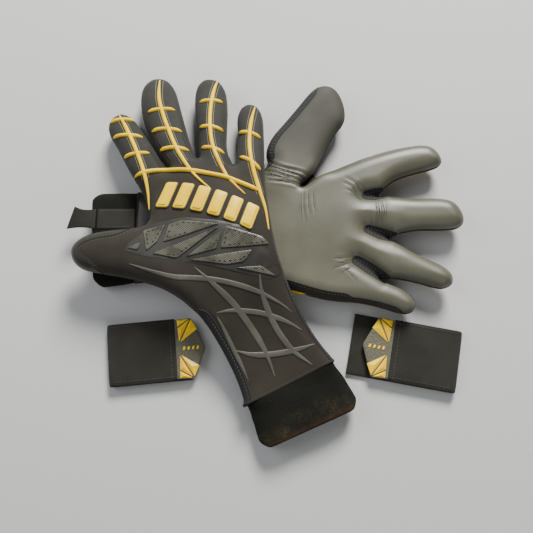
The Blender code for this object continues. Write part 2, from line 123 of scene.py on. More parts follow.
# ---------------------------------------------------------------- materials
class Nodes:
    """A short way to write a material. An input is a number, a colour or another node's output."""

    def __init__(self, name):
        self.material = bpy.data.materials.new(name)
        self.material.use_nodes = True
        self.tree = self.material.node_tree
        coordinates = self.tree.nodes.new("ShaderNodeTexCoord")
        self.place, self.plan = coordinates.outputs["Object"], coordinates.outputs["UV"]

    def set_inputs(self, made, inputs):
        for key, value in inputs.items():
            target = made.inputs[key]
            if isinstance(value, bpy.types.NodeSocket):
                self.tree.links.new(value, target)
            else:
                target.default_value = (*value, 1) if target.type == "RGBA" else value

    def set_shader(self, inputs):
        self.set_inputs(self.tree.nodes["Principled BSDF"], inputs)

    def node(self, kind, output, inputs, **settings):
        made = self.tree.nodes.new("ShaderNode" + kind)
        for key, value in settings.items():
            setattr(made, key, value)
        self.set_inputs(made, inputs)
        return made.outputs[output]

    def noise(self, scale, detail, roughness, distortion=0.0):
        inputs = {"Scale": scale, "Detail": detail, "Roughness": roughness, "Distortion": distortion}
        return self.node("TexNoise", "Fac", {"Vector": self.place, **inputs})

    def voronoi(self, scale):
        return self.node("TexVoronoi", "Distance", {"Vector": self.place, "Scale": scale})

    def wave(self, vector, scale, bands, distortion):
        inputs = {"Vector": vector, "Scale": scale, "Distortion": distortion, "Detail": 0.0}
        return self.node("TexWave", "Fac", inputs, bands_direction=bands)

    def axis(self, letter):
        return self.node("SeparateXYZ", letter, {"Vector": self.place})

    def math(self, operation, a, b):
        return self.node("Math", 0, {0: a, 1: b}, operation=operation)

    def times(self, a, b):
        return self.math("MULTIPLY", a, b)

    def total(self, a, a_share, b, b_share):
        """Two values added up, each times its share."""
        return self.math("ADD", self.times(a, a_share), self.times(b, b_share))

    def ramp(self, value, low, high, to_low=0.0, to_high=1.0):
        """A smooth step from to_low, where the value is at low, to to_high."""
        inputs = {"Value": value, "From Min": low, "From Max": high, "To Min": to_low, "To Max": to_high}
        return self.node("MapRange", "Result", inputs, interpolation_type="SMOOTHSTEP")

    def mix(self, factor, a, b):
        """The colour a turning to b as the factor goes from 0 to 1."""
        return self.node("Mix", 2, {0: factor, 6: a, 7: b}, data_type="RGBA")

    def finish(self, colour, roughness, height, depth, strength, **others):
        """Sets the shader, with a bump of that height, depth in metres and strength."""
        bump = self.node("Bump", "Normal", {"Strength": strength, "Distance": depth, "Height": height})
        self.set_shader({"Base Color": colour, "Roughness": roughness, "Normal": bump})
        self.set_shader({key.replace("_", " "): value for key, value in others.items()})


def latex_foam(n):
    """Smooth foamed latex: fine pores, soft mottling, faint shine, with painted shade on the left thumb and
    towards the right thumb's latex strip.
    """
    mottling, fine, pores = n.noise(26, 4, 0.55), n.noise(900, 2, 0.6), n.voronoi(1400)
    colour = n.mix(n.ramp(mottling, 0.3, 0.7), (0.078, 0.0765, 0.050), (0.093, 0.091, 0.061))
    colour = n.mix(n.ramp(fine, 0.35, 0.75, 0.0, 0.2), colour, (0.125, 0.122, 0.088))
    # Painted shade: the left thumb, and all latex past x = -0.07 m (which takes in the right thumb's latex
    # strip), are darkened towards a dark olive to stand in for the shade they lie in.
    thumb = n.times(n.ramp(n.axis("Y"), 0.050, 0.105), n.ramp(n.axis("X"), 0.085, 0.070))
    dark = n.math("MAXIMUM", thumb, n.ramp(n.axis("X"), -0.070, -0.095, 0.0, 1.25))
    colour = n.mix(n.times(dark, 0.84), colour, (0.0200, 0.0196, 0.0130))
    roughness = n.math("ADD", n.ramp(mottling, 0.3, 0.7, 0.38, 0.47), n.times(thumb, 0.28))
    n.finish(colour, roughness, n.total(fine, 0.6, pores, 0.4), 0.00012, 0.5, Specular_IOR_Level=0.6)


def backhand_fabric(n):
    """Dark brushed stretch fabric with a fine knit, cooler on the fingers."""
    broad, fuzz = n.ramp(n.noise(30, 3, 0.6), 0.3, 0.7), n.noise(1500, 2, 0.7)
    knit = n.times(n.wave(n.plan, 1100, "X", 1.0), n.wave(n.plan, 700, "Y", 1.0))
    warm = n.mix(broad, (0.0150, 0.0122, 0.0074), (0.0232, 0.0190, 0.0120))
    cool = n.mix(broad, (0.0185, 0.0188, 0.0148), (0.0278, 0.0280, 0.0226))
    colour = n.mix(n.ramp(n.axis("Y"), 0.045, 0.080), warm, cool)
    colour = n.mix(n.ramp(fuzz, 0.4, 0.8, 0.0, 0.3), colour, (0.050, 0.045, 0.036))
    sheen = {"Sheen_Weight": 0.07, "Sheen_Roughness": 0.5}
    n.finish(colour, 0.74, n.total(knit, 0.5, fuzz, 0.5), 0.00022, 0.55, Specular_IOR_Level=0.3, **sheen)


def gold_silicone(n):
    """Satin gold moulded silicone, a little worn and dusty."""
    broad = n.noise(90, 3, 0.6)
    colour = n.mix(n.ramp(broad, 0.3, 0.7), (0.94, 0.560, 0.002), (1.0, 0.700, 0.006))
    roughness = n.ramp(broad, 0.3, 0.75, 0.32, 0.44)
    n.finish(colour, roughness, n.noise(700, 2, 0.6), 0.0001, 0.35, Specular_IOR_Level=0.28)


def film(n, dark, light, rough, hatch=0.0):
    """Printed film on the cloth, with fine slanted lines where hatch is above 0."""
    broad, height = n.noise(60, 4, 0.65), n.noise(1100, 2, 0.6)
    colour = n.mix(n.ramp(broad, 0.3, 0.7), dark, light)
    if hatch:
        turned = n.node("Mapping", "Vector", {"Vector": n.place, "Rotation": (0, 0, 0.9)})
        lines = n.wave(turned, 250, "X", 0.5)
        height = n.total(lines, hatch, height, 0.5)
        colour = n.mix(n.ramp(lines, 0.35, 0.85), colour, tuple(0.30 * c for c in dark))
    roughness = n.ramp(broad, 0.3, 0.7, rough, rough + 0.16)
    n.finish(colour, roughness, height, 0.00022, 0.45, Specular_IOR_Level=0.6)


def cuff_knit(n):
    """Dark ribbed elastic with lint on it, fuzzier and browner towards its rim, which ends in a thin
    reddish-brown band.
    """
    ribs, fuzz = n.wave(n.place, 520, "DIAGONAL", 0.8), n.noise(1300, 2, 0.7)
    lint = n.times(n.ramp(n.voronoi(260), 0.060, 0.03), n.times(n.ramp(n.noise(55, 2, 0.5), 0.54, 0.64), 0.7))
    hairs = n.ramp(n.noise(620, 5, 0.8, 4.0), 0.53, 0.60)
    patch = n.ramp(n.noise(32, 3, 0.6), 0.40, 0.62)
    along = n.total(n.axis("Y"), 0.905, n.axis("X"), -0.425)
    rim, edge = n.ramp(along, -0.116, -0.137), n.ramp(along, -0.1345, -0.1375)
    brown_fuzz = n.times(hairs, n.times(patch, n.math("ADD", n.times(rim, 0.55), 0.08)))
    colour = n.mix(n.ramp(fuzz, 0.35, 0.75), (0.0034, 0.0040, 0.0030), (0.0068, 0.0074, 0.0054))
    colour = n.mix(n.times(rim, 0.4), colour, (0.010, 0.0084, 0.0044))
    colour = n.mix(brown_fuzz, colour, (0.20, 0.155, 0.075))
    colour = n.mix(n.times(edge, 0.35), colour, (0.045, 0.018, 0.009))
    colour = n.mix(lint, colour, (0.25, 0.25, 0.22))
    sheen = {"Sheen_Weight": 0.02, "Sheen_Roughness": 0.6}
    n.finish(colour, 0.88, n.total(ribs, 0.5, fuzz, 0.6), 0.0003, 0.6, Specular_IOR_Level=0.15, **sheen)


def woven_elastic(n):
    """Woven elastic: fine cross ribs and a dusty tone."""
    fuzz = n.noise(1400, 2, 0.7)
    weave = n.times(n.wave(n.place, 900, "X", 1.2), n.wave(n.place, 900, "Y", 1.2))
    colour = n.mix(n.ramp(n.noise(40, 3, 0.6), 0.3, 0.7), (0.0150, 0.0145, 0.0105), (0.0225, 0.0218, 0.0165))
    colour = n.mix(n.ramp(fuzz, 0.45, 0.85, 0.0, 0.35), colour, (0.045, 0.043, 0.034))
    sheen = {"Sheen_Weight": 0.06, "Sheen_Roughness": 0.6}
    n.finish(colour, 0.85, n.total(weave, 0.5, fuzz, 0.5), 0.0003, 0.6, Specular_IOR_Level=0.25, **sheen)


def pebbled_rubber(n):
    """Dark grey moulded rubber with a pebbled face."""
    pebble = n.voronoi(900)
    colour = n.mix(n.ramp(pebble, 0.1, 0.6), (0.062, 0.057, 0.036), (0.112, 0.103, 0.070))
    roughness = n.ramp(n.noise(70, 2, 0.5), 0.3, 0.7, 0.48, 0.6)
    n.finish(colour, roughness, pebble, 0.0004, 0.6, Specular_IOR_Level=0.45)


def plain_cloth(n, colour, roughness, sheen):
    """A cord or thread: one tone with a little fuzz."""
    fuzz = n.noise(1600, 2, 0.7)
    lighter = tuple(c * 1.7 + 0.004 for c in colour)
    tone = n.mix(n.ramp(fuzz, 0.35, 0.8), colour, lighter)
    n.finish(tone, roughness, fuzz, 0.0002, 0.5, Sheen_Weight=sheen)


LOOKS = {  # each material's record slot, its maker and what the maker takes
    "latex_foam": ("latex", latex_foam),
    "wrinkle_shade": ("latex", plain_cloth, (0.030, 0.0295, 0.021), 0.6, 0.0),
    "backhand_fabric": ("backing", backhand_fabric),
    "gusset_mesh": ("backing", plain_cloth, (0.0045, 0.0050, 0.0042), 0.85, 0.05),
    "seam_cord": ("backing", plain_cloth, (0.0065, 0.0065, 0.0052), 0.8, 0.05),
    "seam_thread": ("backing", plain_cloth, (0.070, 0.072, 0.062), 0.7, 0.0),
    "bar_border": ("backing", plain_cloth, (0.014, 0.013, 0.010), 0.6, 0.0),
    "perforation": ("backing", plain_cloth, (0.006, 0.006, 0.005), 0.9, 0.0),
    "gold_silicone": ("gold", gold_silicone),
    "shard_film": ("film", film, (0.070, 0.068, 0.049), (0.152, 0.148, 0.110), 0.22, 1.0),
    "shard_base": ("film", film, (0.0100, 0.0084, 0.0056), (0.0160, 0.0136, 0.0092), 0.42),
    "web_print": ("film", film, (0.056, 0.054, 0.040), (0.080, 0.077, 0.058), 0.46),
    "pale_print": ("film", film, (0.10, 0.10, 0.088), (0.16, 0.16, 0.142), 0.45),
    "cuff_knit": ("knit", cuff_knit),
    "woven_elastic": ("elastic", woven_elastic),
    "strap_thread": ("elastic", plain_cloth, (0.055, 0.052, 0.040), 0.7, 0.0),
    "pebbled_rubber": ("rubber", pebbled_rubber),
    "hook_patch": ("hook", plain_cloth, (0.008, 0.008, 0.008), 0.8, 0.0),
}
MATERIALS = {}


def make_materials():
    for name, (_, maker, *values) in LOOKS.items():
        nodes = Nodes(name)
        maker(nodes, *values)
        MATERIALS[name] = nodes.material


# ---------------------------------------------------------------- lines and fields in the plan
def unit(vectors):
    """The vectors at length 1."""
    return vectors / np.maximum(np.linalg.norm(vectors, axis=-1, keepdims=True), 1e-9)


def smoothstep(low, high, value):
    """From 0 where the value is at low to 1 where it is at high, with a smooth start and end."""
    t = np.clip((value - low) / (high - low), 0, 1)
    return t * t * (3 - 2 * t)


def catmull(points, steps=6, closed=True):
    """A smooth curve through the points, with that many steps for each span."""
    knots = np.asarray(points, float)
    if closed:
        knots = np.concatenate([knots[-1:], knots, knots[:2]])
    else:
        knots = np.concatenate([[2 * knots[0] - knots[1]], knots, [2 * knots[-1] - knots[-2]]])
    a, b, c, d = (knots[k : len(knots) - 3 + k, None] for k in range(4))
    f = (np.arange(steps) / steps)[:, None]
    curve = 2 * b + (c - a) * f + (2 * a - 5 * b + 4 * c - d) * f * f + (3 * b - a - 3 * c + d) * f**3
    curve = 0.5 * curve.reshape(-1, knots.shape[1])
    return curve if closed else np.concatenate([curve, knots[-2:-1]])


def resample(path, spacing):
    """The path's points (and whatever goes with them) at an even spacing."""
    path = np.asarray(path, float)
    along = np.concatenate([[0], np.cumsum(np.linalg.norm(np.diff(path[:, :3], axis=0), axis=1))])
    at = np.linspace(0, along[-1], max(3, int(round(along[-1] / spacing)) + 1))
    return np.stack([np.interp(at, along, values) for values in path.T], 1)


def close(points):
    """The points with the first one again at the end."""
    return np.concatenate([points, points[:1]])


def smooth_run(values, times):
    """The values with their unevenness smoothed out along the run."""
    values = values.copy()
    closed = np.allclose(values[0], values[-1])
    for _ in range(times):
        inner = 0.25 * values[:-2] + 0.5 * values[1:-1] + 0.25 * values[2:]
        if closed:
            values[0] = values[-1] = 0.25 * values[-2] + 0.5 * values[0] + 0.25 * values[1]
        values[1:-1] = inner
    return values


def segment_gap(px, py, a, b):
    """How far along the segment each place's nearest point lies (0 to 1), and the distance to it."""
    ex, ey, wx, wy = b[0] - a[0], b[1] - a[1], px - a[0], py - a[1]
    t = np.clip((wx * ex + wy * ey) / max(ex * ex + ey * ey, 1e-12), 0, 1)
    return t, np.hypot(wx - ex * t, wy - ey * t)


def polygon_distance(px, py, outline):
    """Signed distance to a closed outline, below 0 inside it."""
    best, inside = np.full(np.shape(px), 1e9), np.zeros(np.shape(px), bool)
    for a, b in zip(outline, np.roll(outline, -1, axis=0)):
        best = np.minimum(best, segment_gap(px, py, a, b)[1])
        if a[1] != b[1]:
            crossing = (b[0] - a[0]) * (py - a[1]) / (b[1] - a[1]) + a[0]
            inside ^= ((a[1] > py) != (b[1] > py)) & (px < crossing)
    return best * np.where(inside, -1, 1)


def line_distance(px, py, points, radii=None):
    """Distance to an open line, less its radius there."""
    radii = radii or [0] * len(points)
    best = np.full(np.shape(px), 1e9)
    for a, b, first, last in zip(points, points[1:], radii, radii[1:]):
        t, gap = segment_gap(px, py, a, b)
        best = np.minimum(best, gap - (first + (last - first) * t))
    return best


def blur(grid, times):
    for _ in range(times):
        wide = np.pad(grid, 1, mode="edge")
        rows = wide[:-2] + 2 * wide[1:-1] + wide[2:]
        grid = (rows[:, :-2] + 2 * rows[:, 1:-1] + rows[:, 2:]) / 16
    return grid


class Field:
    """Values on a square grid of 1 mm in the plan, read between its points."""

    def __init__(self, low, values):
        self.low, self.values = low, values

    def at(self, x, y):
        gx = np.clip(np.asarray(x) - self.low[0], 0, self.values.shape[0] - 1.001)
        gy = np.clip(np.asarray(y) - self.low[1], 0, self.values.shape[1] - 1.001)
        i, j = gx.astype(int), gy.astype(int)
        f, g, v = gx - i, gy - j, self.values
        near = v[i, j] * (1 - f) + v[i + 1, j] * f
        return near * (1 - g) + (v[i, j + 1] * (1 - f) + v[i + 1, j + 1] * f) * g


# ---------------------------------------------------------------- what each glove is
# Millimetres in the row frame. Outlines run once round the glove, thumb tip first. Hand knots are
# (x, y, z, half height), and finger knots (x, y, z). Slots, between the fingers, are (x, y, radius),
# and a strip is its path, how near to the path it lies, and its width. The split is where a finger's
# pieces begin, along it from its first knot.
GLOVES = {
    "right": {
        "back": 1,
        "outline": [
            (-153.4, -3.5), (-151.8, 2.6), (-147.0, 7.4), (-139.5, 11.0), (-129.5, 13.2), (-115.2, 14.6),
            (-103.5, 15.2), (-97.6, 16.6), (-93.6, 19.2), (-92.2, 24.0), (-93.6, 31.8), (-97.4, 42.2),
            (-102.0, 51.7), (-108.3, 61.5), (-115.2, 74.5), (-123.1, 89.3), (-130.3, 101.8),
            (-132.6, 111.0), (-129.8, 118.6), (-122.6, 122.8), (-113.9, 118.5), (-107.0, 109.2),
            (-98.5, 96.0), (-91.0, 83.6), (-84.6, 73.0), (-80.9, 67.2), (-79.2, 66.9), (-80.6, 70.2),
            (-86.4, 79.0), (-94.9, 95.6), (-102.6, 114.0), (-106.4, 133.0), (-104.8, 147.0),
            (-96.8, 155.2), (-86.0, 154.2), (-78.6, 144.6), (-73.0, 126.0), (-68.2, 108.2), (-63.3, 91.5),
            (-59.2, 81.0), (-57.0, 76.2), (-55.2, 75.4), (-54.4, 77.6), (-55.4, 92.4), (-57.9, 112.2),
            (-60.2, 132.0), (-59.2, 146.6), (-52.6, 154.9), (-42.0, 153.8), (-35.4, 143.2), (-33.2, 124.4),
            (-33.2, 104.7), (-33.0, 87.5), (-30.2, 77.0), (-27.6, 71.8), (-25.8, 71.0), (-24.8, 73.0),
            (-23.9, 83.1), (-23.2, 101.2), (-24.2, 116.0), (-22.0, 127.0), (-15.3, 132.0), (-7.6, 128.4),
            (-3.6, 117.5), (-2.6, 96.2), (-2.0, 76.3), (-1.4, 55.8), (1.2, 34.3), (4.1, 15.6), (8.0, -2.5),
            (12.6, -16.5), (17.7, -29.0), (23.9, -42.8), (31.7, -57.8), (41.0, -72.0), (51.2, -84.7),
            (56.0, -92.0), (48.0, -101.0), (10.0, -119.0), (-10.0, -128.0), (-18.0, -124.0),
            (-17.6, -116.1), (-22.8, -101.4), (-30.6, -85.4), (-38.4, -71.8), (-46.1, -60.3),
            (-53.8, -51.2), (-63.0, -42.8), (-73.0, -36.3), (-83.4, -31.4), (-98.0, -26.9),
            (-113.8, -23.2), (-129.7, -20.4), (-143.0, -17.0), (-150.5, -11.2),
        ],
        "hand": [
            (17.1, -99.3, 10.4, 6.8), (-6, -59, 16.0, 8.0), (-21, -33, 27.5, 9.0), (-34, -8, 33.5, 10.0),
            (-46, 28, 34.0, 10.5), (-57, 68, 30.0, 10.0),
        ],
        "fingers": {
            "thumb": [(-86, -13, 33.0), (-114, -9.5, 30.5), (-153, -4, 27.0)],
            "index": [(-98.5, 60, 28.5), (-111, 92, 20.0), (-123, 123, 10.6)],
            "middle": [(-71.5, 72, 29.5), (-83, 113, 21.0), (-93, 155, 10.4)],
            "ring": [(-41.5, 73, 29.5), (-45.5, 114, 21.0), (-47, 155, 10.4)],
            "little": [(-14.5, 68, 28.5), (-16, 99, 20.0), (-16, 132, 10.4)],
        },
        "split": {"thumb": 15.0, "index": 2.5, "middle": 3.0, "ring": 6.0, "little": 5.5},
        "cuff": [(37, -139, 10.4), (27.5, -120, 10.4), (18.6, -102.3, 10.4)],
        "slots": [
            [(-79.5, 70, 3.4), (-76.6, 62, 3.0), (-74.0, 56, 2.2)],
            [(-55.2, 78, 3.4), (-54.0, 69, 3.0), (-53.0, 61, 2.2)],
            [(-26.4, 74, 3.4), (-26.8, 66, 3.0), (-27.5, 58, 2.2)],
        ],
        "latex_strips": [([(-153.4, -2.0), (-147.0, 7.4), (-134.0, 12.4)], 34.0, 6.6)],
        "fabric_strips": [],
        "gusset_strips": [
            ([(-47.0, -59.0), (-38.4, -71.8), (-30.6, -85.4), (-22.8, -101.4), (-17.6, -116.0)], 14.0, 6.0),
            (
                [(17.7, -29.0), (23.9, -42.8), (31.7, -57.8), (41.0, -72.0), (51.2, -84.7), (56.0, -92.0)],
                12.0,
                2.6,
            ),
        ],
    },
    "left": {
        "back": -1,
        "outline": [
            (1.2, 78.2), (-0.3, 84.2), (0.8, 92.2), (5.8, 102.1), (15.6, 114.4), (26.8, 128.8),
            (34.6, 139.1), (41.4, 145.7), (49.3, 148.6), (57.4, 146.0), (63.0, 137.2), (65.8, 125.1),
            (64.6, 114.4), (57.6, 104.0), (50.0, 91.0), (44.9, 80.2), (41.0, 72.6), (37.4, 67.4),
            (32.8, 62.8), (29.0, 59.6), (27.6, 57.4), (28.9, 55.9), (31.9, 56.9), (37.0, 60.8),
            (42.6, 65.2), (48.0, 67.9), (57.5, 71.6), (69.5, 76.7), (82.6, 82.1), (99.0, 87.4),
            (115.9, 91.4), (130.3, 92.9), (138.9, 90.2), (144.6, 82.2), (143.2, 75.6), (134.8, 71.8),
            (118.9, 67.4), (106.3, 62.6), (97.9, 56.7), (93.4, 52.0), (92.4, 49.8), (94.4, 48.6),
            (105.6, 47.2), (121.9, 45.9), (141.5, 45.9), (152.2, 43.1), (158.4, 35.4), (159.6, 26.9),
            (154.5, 21.2), (140.9, 19.6), (124.7, 19.6), (109.3, 17.2), (101.9, 14.4), (99.0, 12.2),
            (101.0, 10.2), (108.2, 6.0), (119.5, -1.0), (131.8, -7.0), (141.9, -12.2), (147.4, -18.4),
            (147.0, -25.2), (141.0, -28.8), (133.7, -28.4), (122.2, -25.0), (106.5, -21.4), (96.4, -20.4),
            (91.5, -21.4), (91.2, -23.2), (98.3, -26.2), (107.5, -30.3), (114.6, -36.2), (116.9, -42.6),
            (112.9, -48.6), (104.6, -49.0), (93.5, -45.6), (81.8, -42.4), (70.0, -40.4), (58.2, -39.6),
            (46.5, -38.0), (34.7, -35.0), (22.8, -31.2), (10.2, -27.2), (-8.0, -22.4), (-28.0, -18.4),
            (-50.0, -19.0), (-75.0, -20.8), (-98.0, -23.0), (-109.0, -23.2), (-113.0, -18.0),
            (-113.0, 48.0), (-109.0, 53.2), (-98.0, 52.6), (-75.0, 50.0), (-50.0, 49.0), (-28.0, 52.0),
            (-13.0, 58.5), (-5.5, 66.0), (-1.2, 72.5),
        ],
        "hand": [
            (-102.4, 15, 9.5, 6.5), (-62, 16, 9.9, 7.0), (-21, 18, 11.0, 8.0), (8, 20, 12.5, 9.0),
            (35, 18.5, 14.0, 10.0), (60, 19, 14.4, 10.4), (81, 19.5, 14.4, 10.4),
        ],
        "fingers": {
            "thumb": [(16.5, 66.0, 13.8), (35, 107, 13.6), (52, 147, 13.2)],
            "index": [(81, 62.5, 14.4), (113, 73, 14.4), (145.5, 81, 14.4)],
            "middle": [(85.5, 31, 14.4), (122, 31, 14.4), (161, 29, 14.4)],
            "ring": [(80.5, 0.5, 14.4), (115, -11, 14.4), (148, -24, 14.4)],
            "little": [(62.5, -24, 14.4), (90, -36, 14.4), (118, -46, 14.4)],
        },
        "split": {"thumb": 7.0, "index": 12.0, "middle": 17.4, "ring": 20.0, "little": 29.0},
        "cuff": [(-141, 15, 9.5), (-122, 15, 9.5), (-104.6, 15, 9.5)],
        "tight": [(42.0, 67.5), (35.5, 62.0), (29.5, 58.0)],
        "slots": [
            [(96, 50.6, 3.2), (88, 49.0, 3.6), (81.5, 48.4, 2.8)],
            [(103, 12.4, 3.0), (92, 15.4, 3.6), (82.0, 19.2, 2.6)],
            [(94, -22.0, 3.0), (82, -13.4, 3.6), (72.0, -6.8, 2.8)],
        ],
        "latex_strips": [],
        "fabric_strips": [
            ([(96.0, -46.0), (82.0, -43.0), (66.0, -40.0)], 12.0, 2.6),
            ([(56.0, -40.0), (34.7, -35.6), (22.8, -31.8), (0.0, -24.5), (-40.0, -18.4)], 16.0, 5.2),
        ],
        "gusset_strips": [
            ([(-2.0, 84.0), (5.0, 102.0), (15.6, 114.4), (26.8, 128.8), (33.0, 137.0)], 16.0, 6.2),
        ],
    },
}
FINGER_HALF_HEIGHT = {"thumb": 10.2, "index": 9.6, "middle": 10.0, "ring": 9.8, "little": 9.2}
FINGER_REACH = 31.0  # a finger's skin lies this near to the finger's line
TIP_REACH = 6.0  # and the search for it starts this near to the line's last knot
BEND_START = 1.6  # how far past its split the span that hold works out for a finger starts
BEND_ZONE = {"left": 40.0, "right": 40.0, "right_little": 24.0}  # and how far past it that span ends
STRAIGHT_TIP = 6.0  # the length at a fingertip that the span never reaches
EDGE_RADIUS = 12.0  # how far in from the outline a finger's side is round
HAND_RADIUS = 7.0  # more than that on the hand
THUMB_RADIUS = 4.6  # and on the thumb
TIGHT_RADIUS = 7.0  # the whole radius in a tight place
KNOT_SPREAD = 40.0  # a knot's height counts evenly within about the root of this
FIELD_BLUR = 6  # rounds of smoothing of the heights
RADIUS_BLUR = 8  # and of the radii
MARGIN = 8  # of the fields round the outline


class Glove:
    """The plan fields of one glove, and its surface as the zero level of a function."""

    POWER = 2.3

    def __init__(self, side):
        spec = GLOVES[side]
        self.side, self.spec, self.back = side, spec, spec["back"]
        outline = catmull(spec["outline"], 5)
        self.low, self.high = outline.min(0) - MARGIN, outline.max(0) + MARGIN
        spans = [np.arange(low, high, 1.0) for low, high in zip(self.low, self.high)]
        gx, gy = np.meshgrid(*spans, indexing="ij")
        slots = [line_distance(gx, gy, slot, [knot[2] for knot in slot]) for slot in spec["slots"]]
        hand = catmull(spec["hand"], 8, False)
        samples = hand.tolist()
        for finger, route in spec["fingers"].items():
            samples += [(*place, FINGER_HALF_HEIGHT[finger]) for place in catmull(route, 10, False)]
        sums = np.zeros((3, *gx.shape))
        for x, y, z, half in samples:
            weight = 1 / ((gx - x) ** 2 + (gy - y) ** 2 + KNOT_SPREAD) ** 2
            sums += weight * np.array([z, half, 1])[:, None, None]
        in_hand = smoothstep(40, 20, line_distance(gx, gy, hand[:, :2]))
        thumb = catmull(spec["fingers"]["thumb"], 10, False)
        on_thumb = smoothstep(26, 14, line_distance(gx, gy, thumb)) * (1 - in_hand)
        radius = EDGE_RADIUS + HAND_RADIUS * in_hand + THUMB_RADIUS * on_thumb
        if "tight" in spec:
            radius -= (radius - TIGHT_RADIUS) * smoothstep(16, 3, line_distance(gx, gy, spec["tight"]))
        self.outside = Field(self.low, polygon_distance(gx, gy, outline))
        self.slots = Field(self.low, np.minimum.reduce(slots))
        self.centre, self.tall = (Field(self.low, blur(total / sums[2], FIELD_BLUR)) for total in sums[:2])
        self.radius = Field(self.low, blur(radius, RADIUS_BLUR))

    def level(self, p):
        """Below 0 inside the glove, and about the distance in radii from its skin."""
        x, y, z = p[..., 0], p[..., 1], p[..., 2]
        radius, distance = self.radius.at(x, y), self.outside.at(x, y)
        over = (z - self.centre.at(x, y)) / self.tall.at(x, y)
        palmward = smoothstep(-0.55, 0.55, -over * self.back)
        cut = distance + (np.maximum(distance, -self.slots.at(x, y)) - distance) * palmward
        edge = np.maximum(0, radius + cut) / radius
        return (edge**self.POWER + np.abs(over) ** self.POWER) ** (1 / self.POWER) - 1

    def over(self, p):
        """How far up or down the place is: 1 on top of the back, and -1 on the palm."""
        x, y, z = p[:, 0], p[:, 1], p[:, 2]
        return (z - self.centre.at(x, y)) / self.tall.at(x, y) * self.back

    def skin(self, x, y, towards):
        """Points on the skin above those places, on the back (1) or the palm side (-1)."""
        radius = self.radius.at(x, y)
        edge = np.clip((radius + self.outside.at(x, y)) / radius, 0, 0.995)
        rise = (1 - edge**self.POWER) ** (1 / self.POWER)
        z = self.centre.at(x, y) + towards * self.back * self.tall.at(x, y) * rise
        return np.stack([x, y, z], -1)

    def skin_with_normal(self, x, y, towards=1, e=0.6):
        """Points on the skin, and the directions that point out of it there."""
        x, y = np.asarray(x, float), np.asarray(y, float)
        px = self.skin(x + e, y, towards) - self.skin(x - e, y, towards)
        py = self.skin(x, y + e, towards) - self.skin(x, y - e, towards)
        return self.skin(x, y, towards), unit(np.cross(px, py)) * towards * self.back

    def outward(self, x, y, e):
        """Away from the glove's middle, in the plan."""
        out = self.outside.at
        return unit(np.stack([out(x + e, y) - out(x - e, y), out(x, y + e) - out(x, y - e)], 1))

    def cuff_axis(self):
        """The cuff seam's middle, and the direction from the cuff to the hand."""
        cuff = np.array(self.spec["cuff"], float)[:, :2]
        return cuff[-1], unit(cuff[-1] - cuff[0])

    def finger_axis(self, finger):
        """The finger's first knot, and the direction in which it starts."""
        route = np.array(self.spec["fingers"][finger], float)[:, :2]
        return route[0], unit(route[1] - route[0])


def slope_of(level, places, reach=0.2):
    """The gradient of a level at those places."""
    steps = np.eye(3) * reach
    return np.stack([(level(places + step) - level(places - step)) / (2 * reach) for step in steps], -1)


def drop(glove, places, times=3):
    """The places moved onto the glove's skin."""
    for _ in range(times):
        slope = slope_of(glove.level, places)
        places = places - slope * (glove.level(places) / np.maximum((slope**2).sum(-1), 1e-6))[..., None]
    return places


# ---------------------------------------------------------------- shapes and pieces
class Build:
    """Points and faces gathered from several shapes into one mesh."""

    def __init__(self):
        self.points, self.faces, self.count = [], [], 0

    def add(self, points, faces):
        self.points.append(np.asarray(points, float).reshape(-1, 3))
        self.faces.extend(tuple(int(i) + self.count for i in face) for face in faces)
        self.count += len(self.points[-1])

    def mesh(self, name):
        data = bpy.data.meshes.new(name)
        data.from_pydata((np.concatenate(self.points) * MM).tolist(), [], self.faces)
        data.update()
        data.shade_smooth()
        return data


def line_length(knots):
    """The length in the plan of the line through the knots."""
    steps = np.diff(np.asarray(knots, float)[:, :2], axis=0)
    return float(np.hypot(*steps.T).sum())


def hold(obj, glove, zone):
    """The hand's pieces ride the hand, and a finger's pieces have their place baked into their meshes."""
    hand, side, spec = f"{glove.side}_hand", glove.side, glove.spec
    if zone == "hand":
        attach(obj, hand)
        return
    (base, forward), split, route = glove.finger_axis(zone), spec["split"][zone], spec["fingers"][zone]
    reach = BEND_ZONE.get(f"{side}_{zone}", BEND_ZONE[side])
    last = min(split + reach, line_length(route) - STRAIGHT_TIP)
    start, end = (np.array([*(base + forward * at), route[0][2]]) * MM for at in (split + BEND_START, last))
    tuple(start)
    tuple(end)
    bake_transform(obj)


def piece(name, shape, material, body, replaces=(), slot=None):
    """A piece of the looks. Its body is a name, or a glove and the zone of it that holds the piece."""
    data = shape.mesh(name) if isinstance(shape, Build) else shape
    data.materials.append(MATERIALS[material])
    obj = bpy.data.objects.new(name, data)
    bpy.context.scene.collection.objects.link(obj)
    slot or LOOKS[material][0]
    if replaces:
        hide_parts(*replaces)
    if isinstance(body, tuple):
        hold(obj, *body)
    elif body:
        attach(obj, body)
    return obj


def ring_faces(rings, sides, capped=True):
    """The faces between rings of points laid one after another, with a cap on each end."""
    faces = []
    for first in range(0, (rings - 1) * sides, sides):
        for k in range(sides):
            m = (k + 1) % sides
            faces.append((first + k, first + sides + k, first + sides + m, first + m))
    if capped:
        faces += [tuple(range(sides)), tuple(range(rings * sides - 1, (rings - 1) * sides - 1, -1))]
    return faces


def rounded_section(angle, across_power, up_power):
    """Places round a section that is squarer than an ellipse where a power is below 1."""
    cosine, sine = np.cos(angle), np.sin(angle)
    return np.sign(cosine) * np.abs(cosine) ** across_power, np.sign(sine) * np.abs(sine) ** up_power


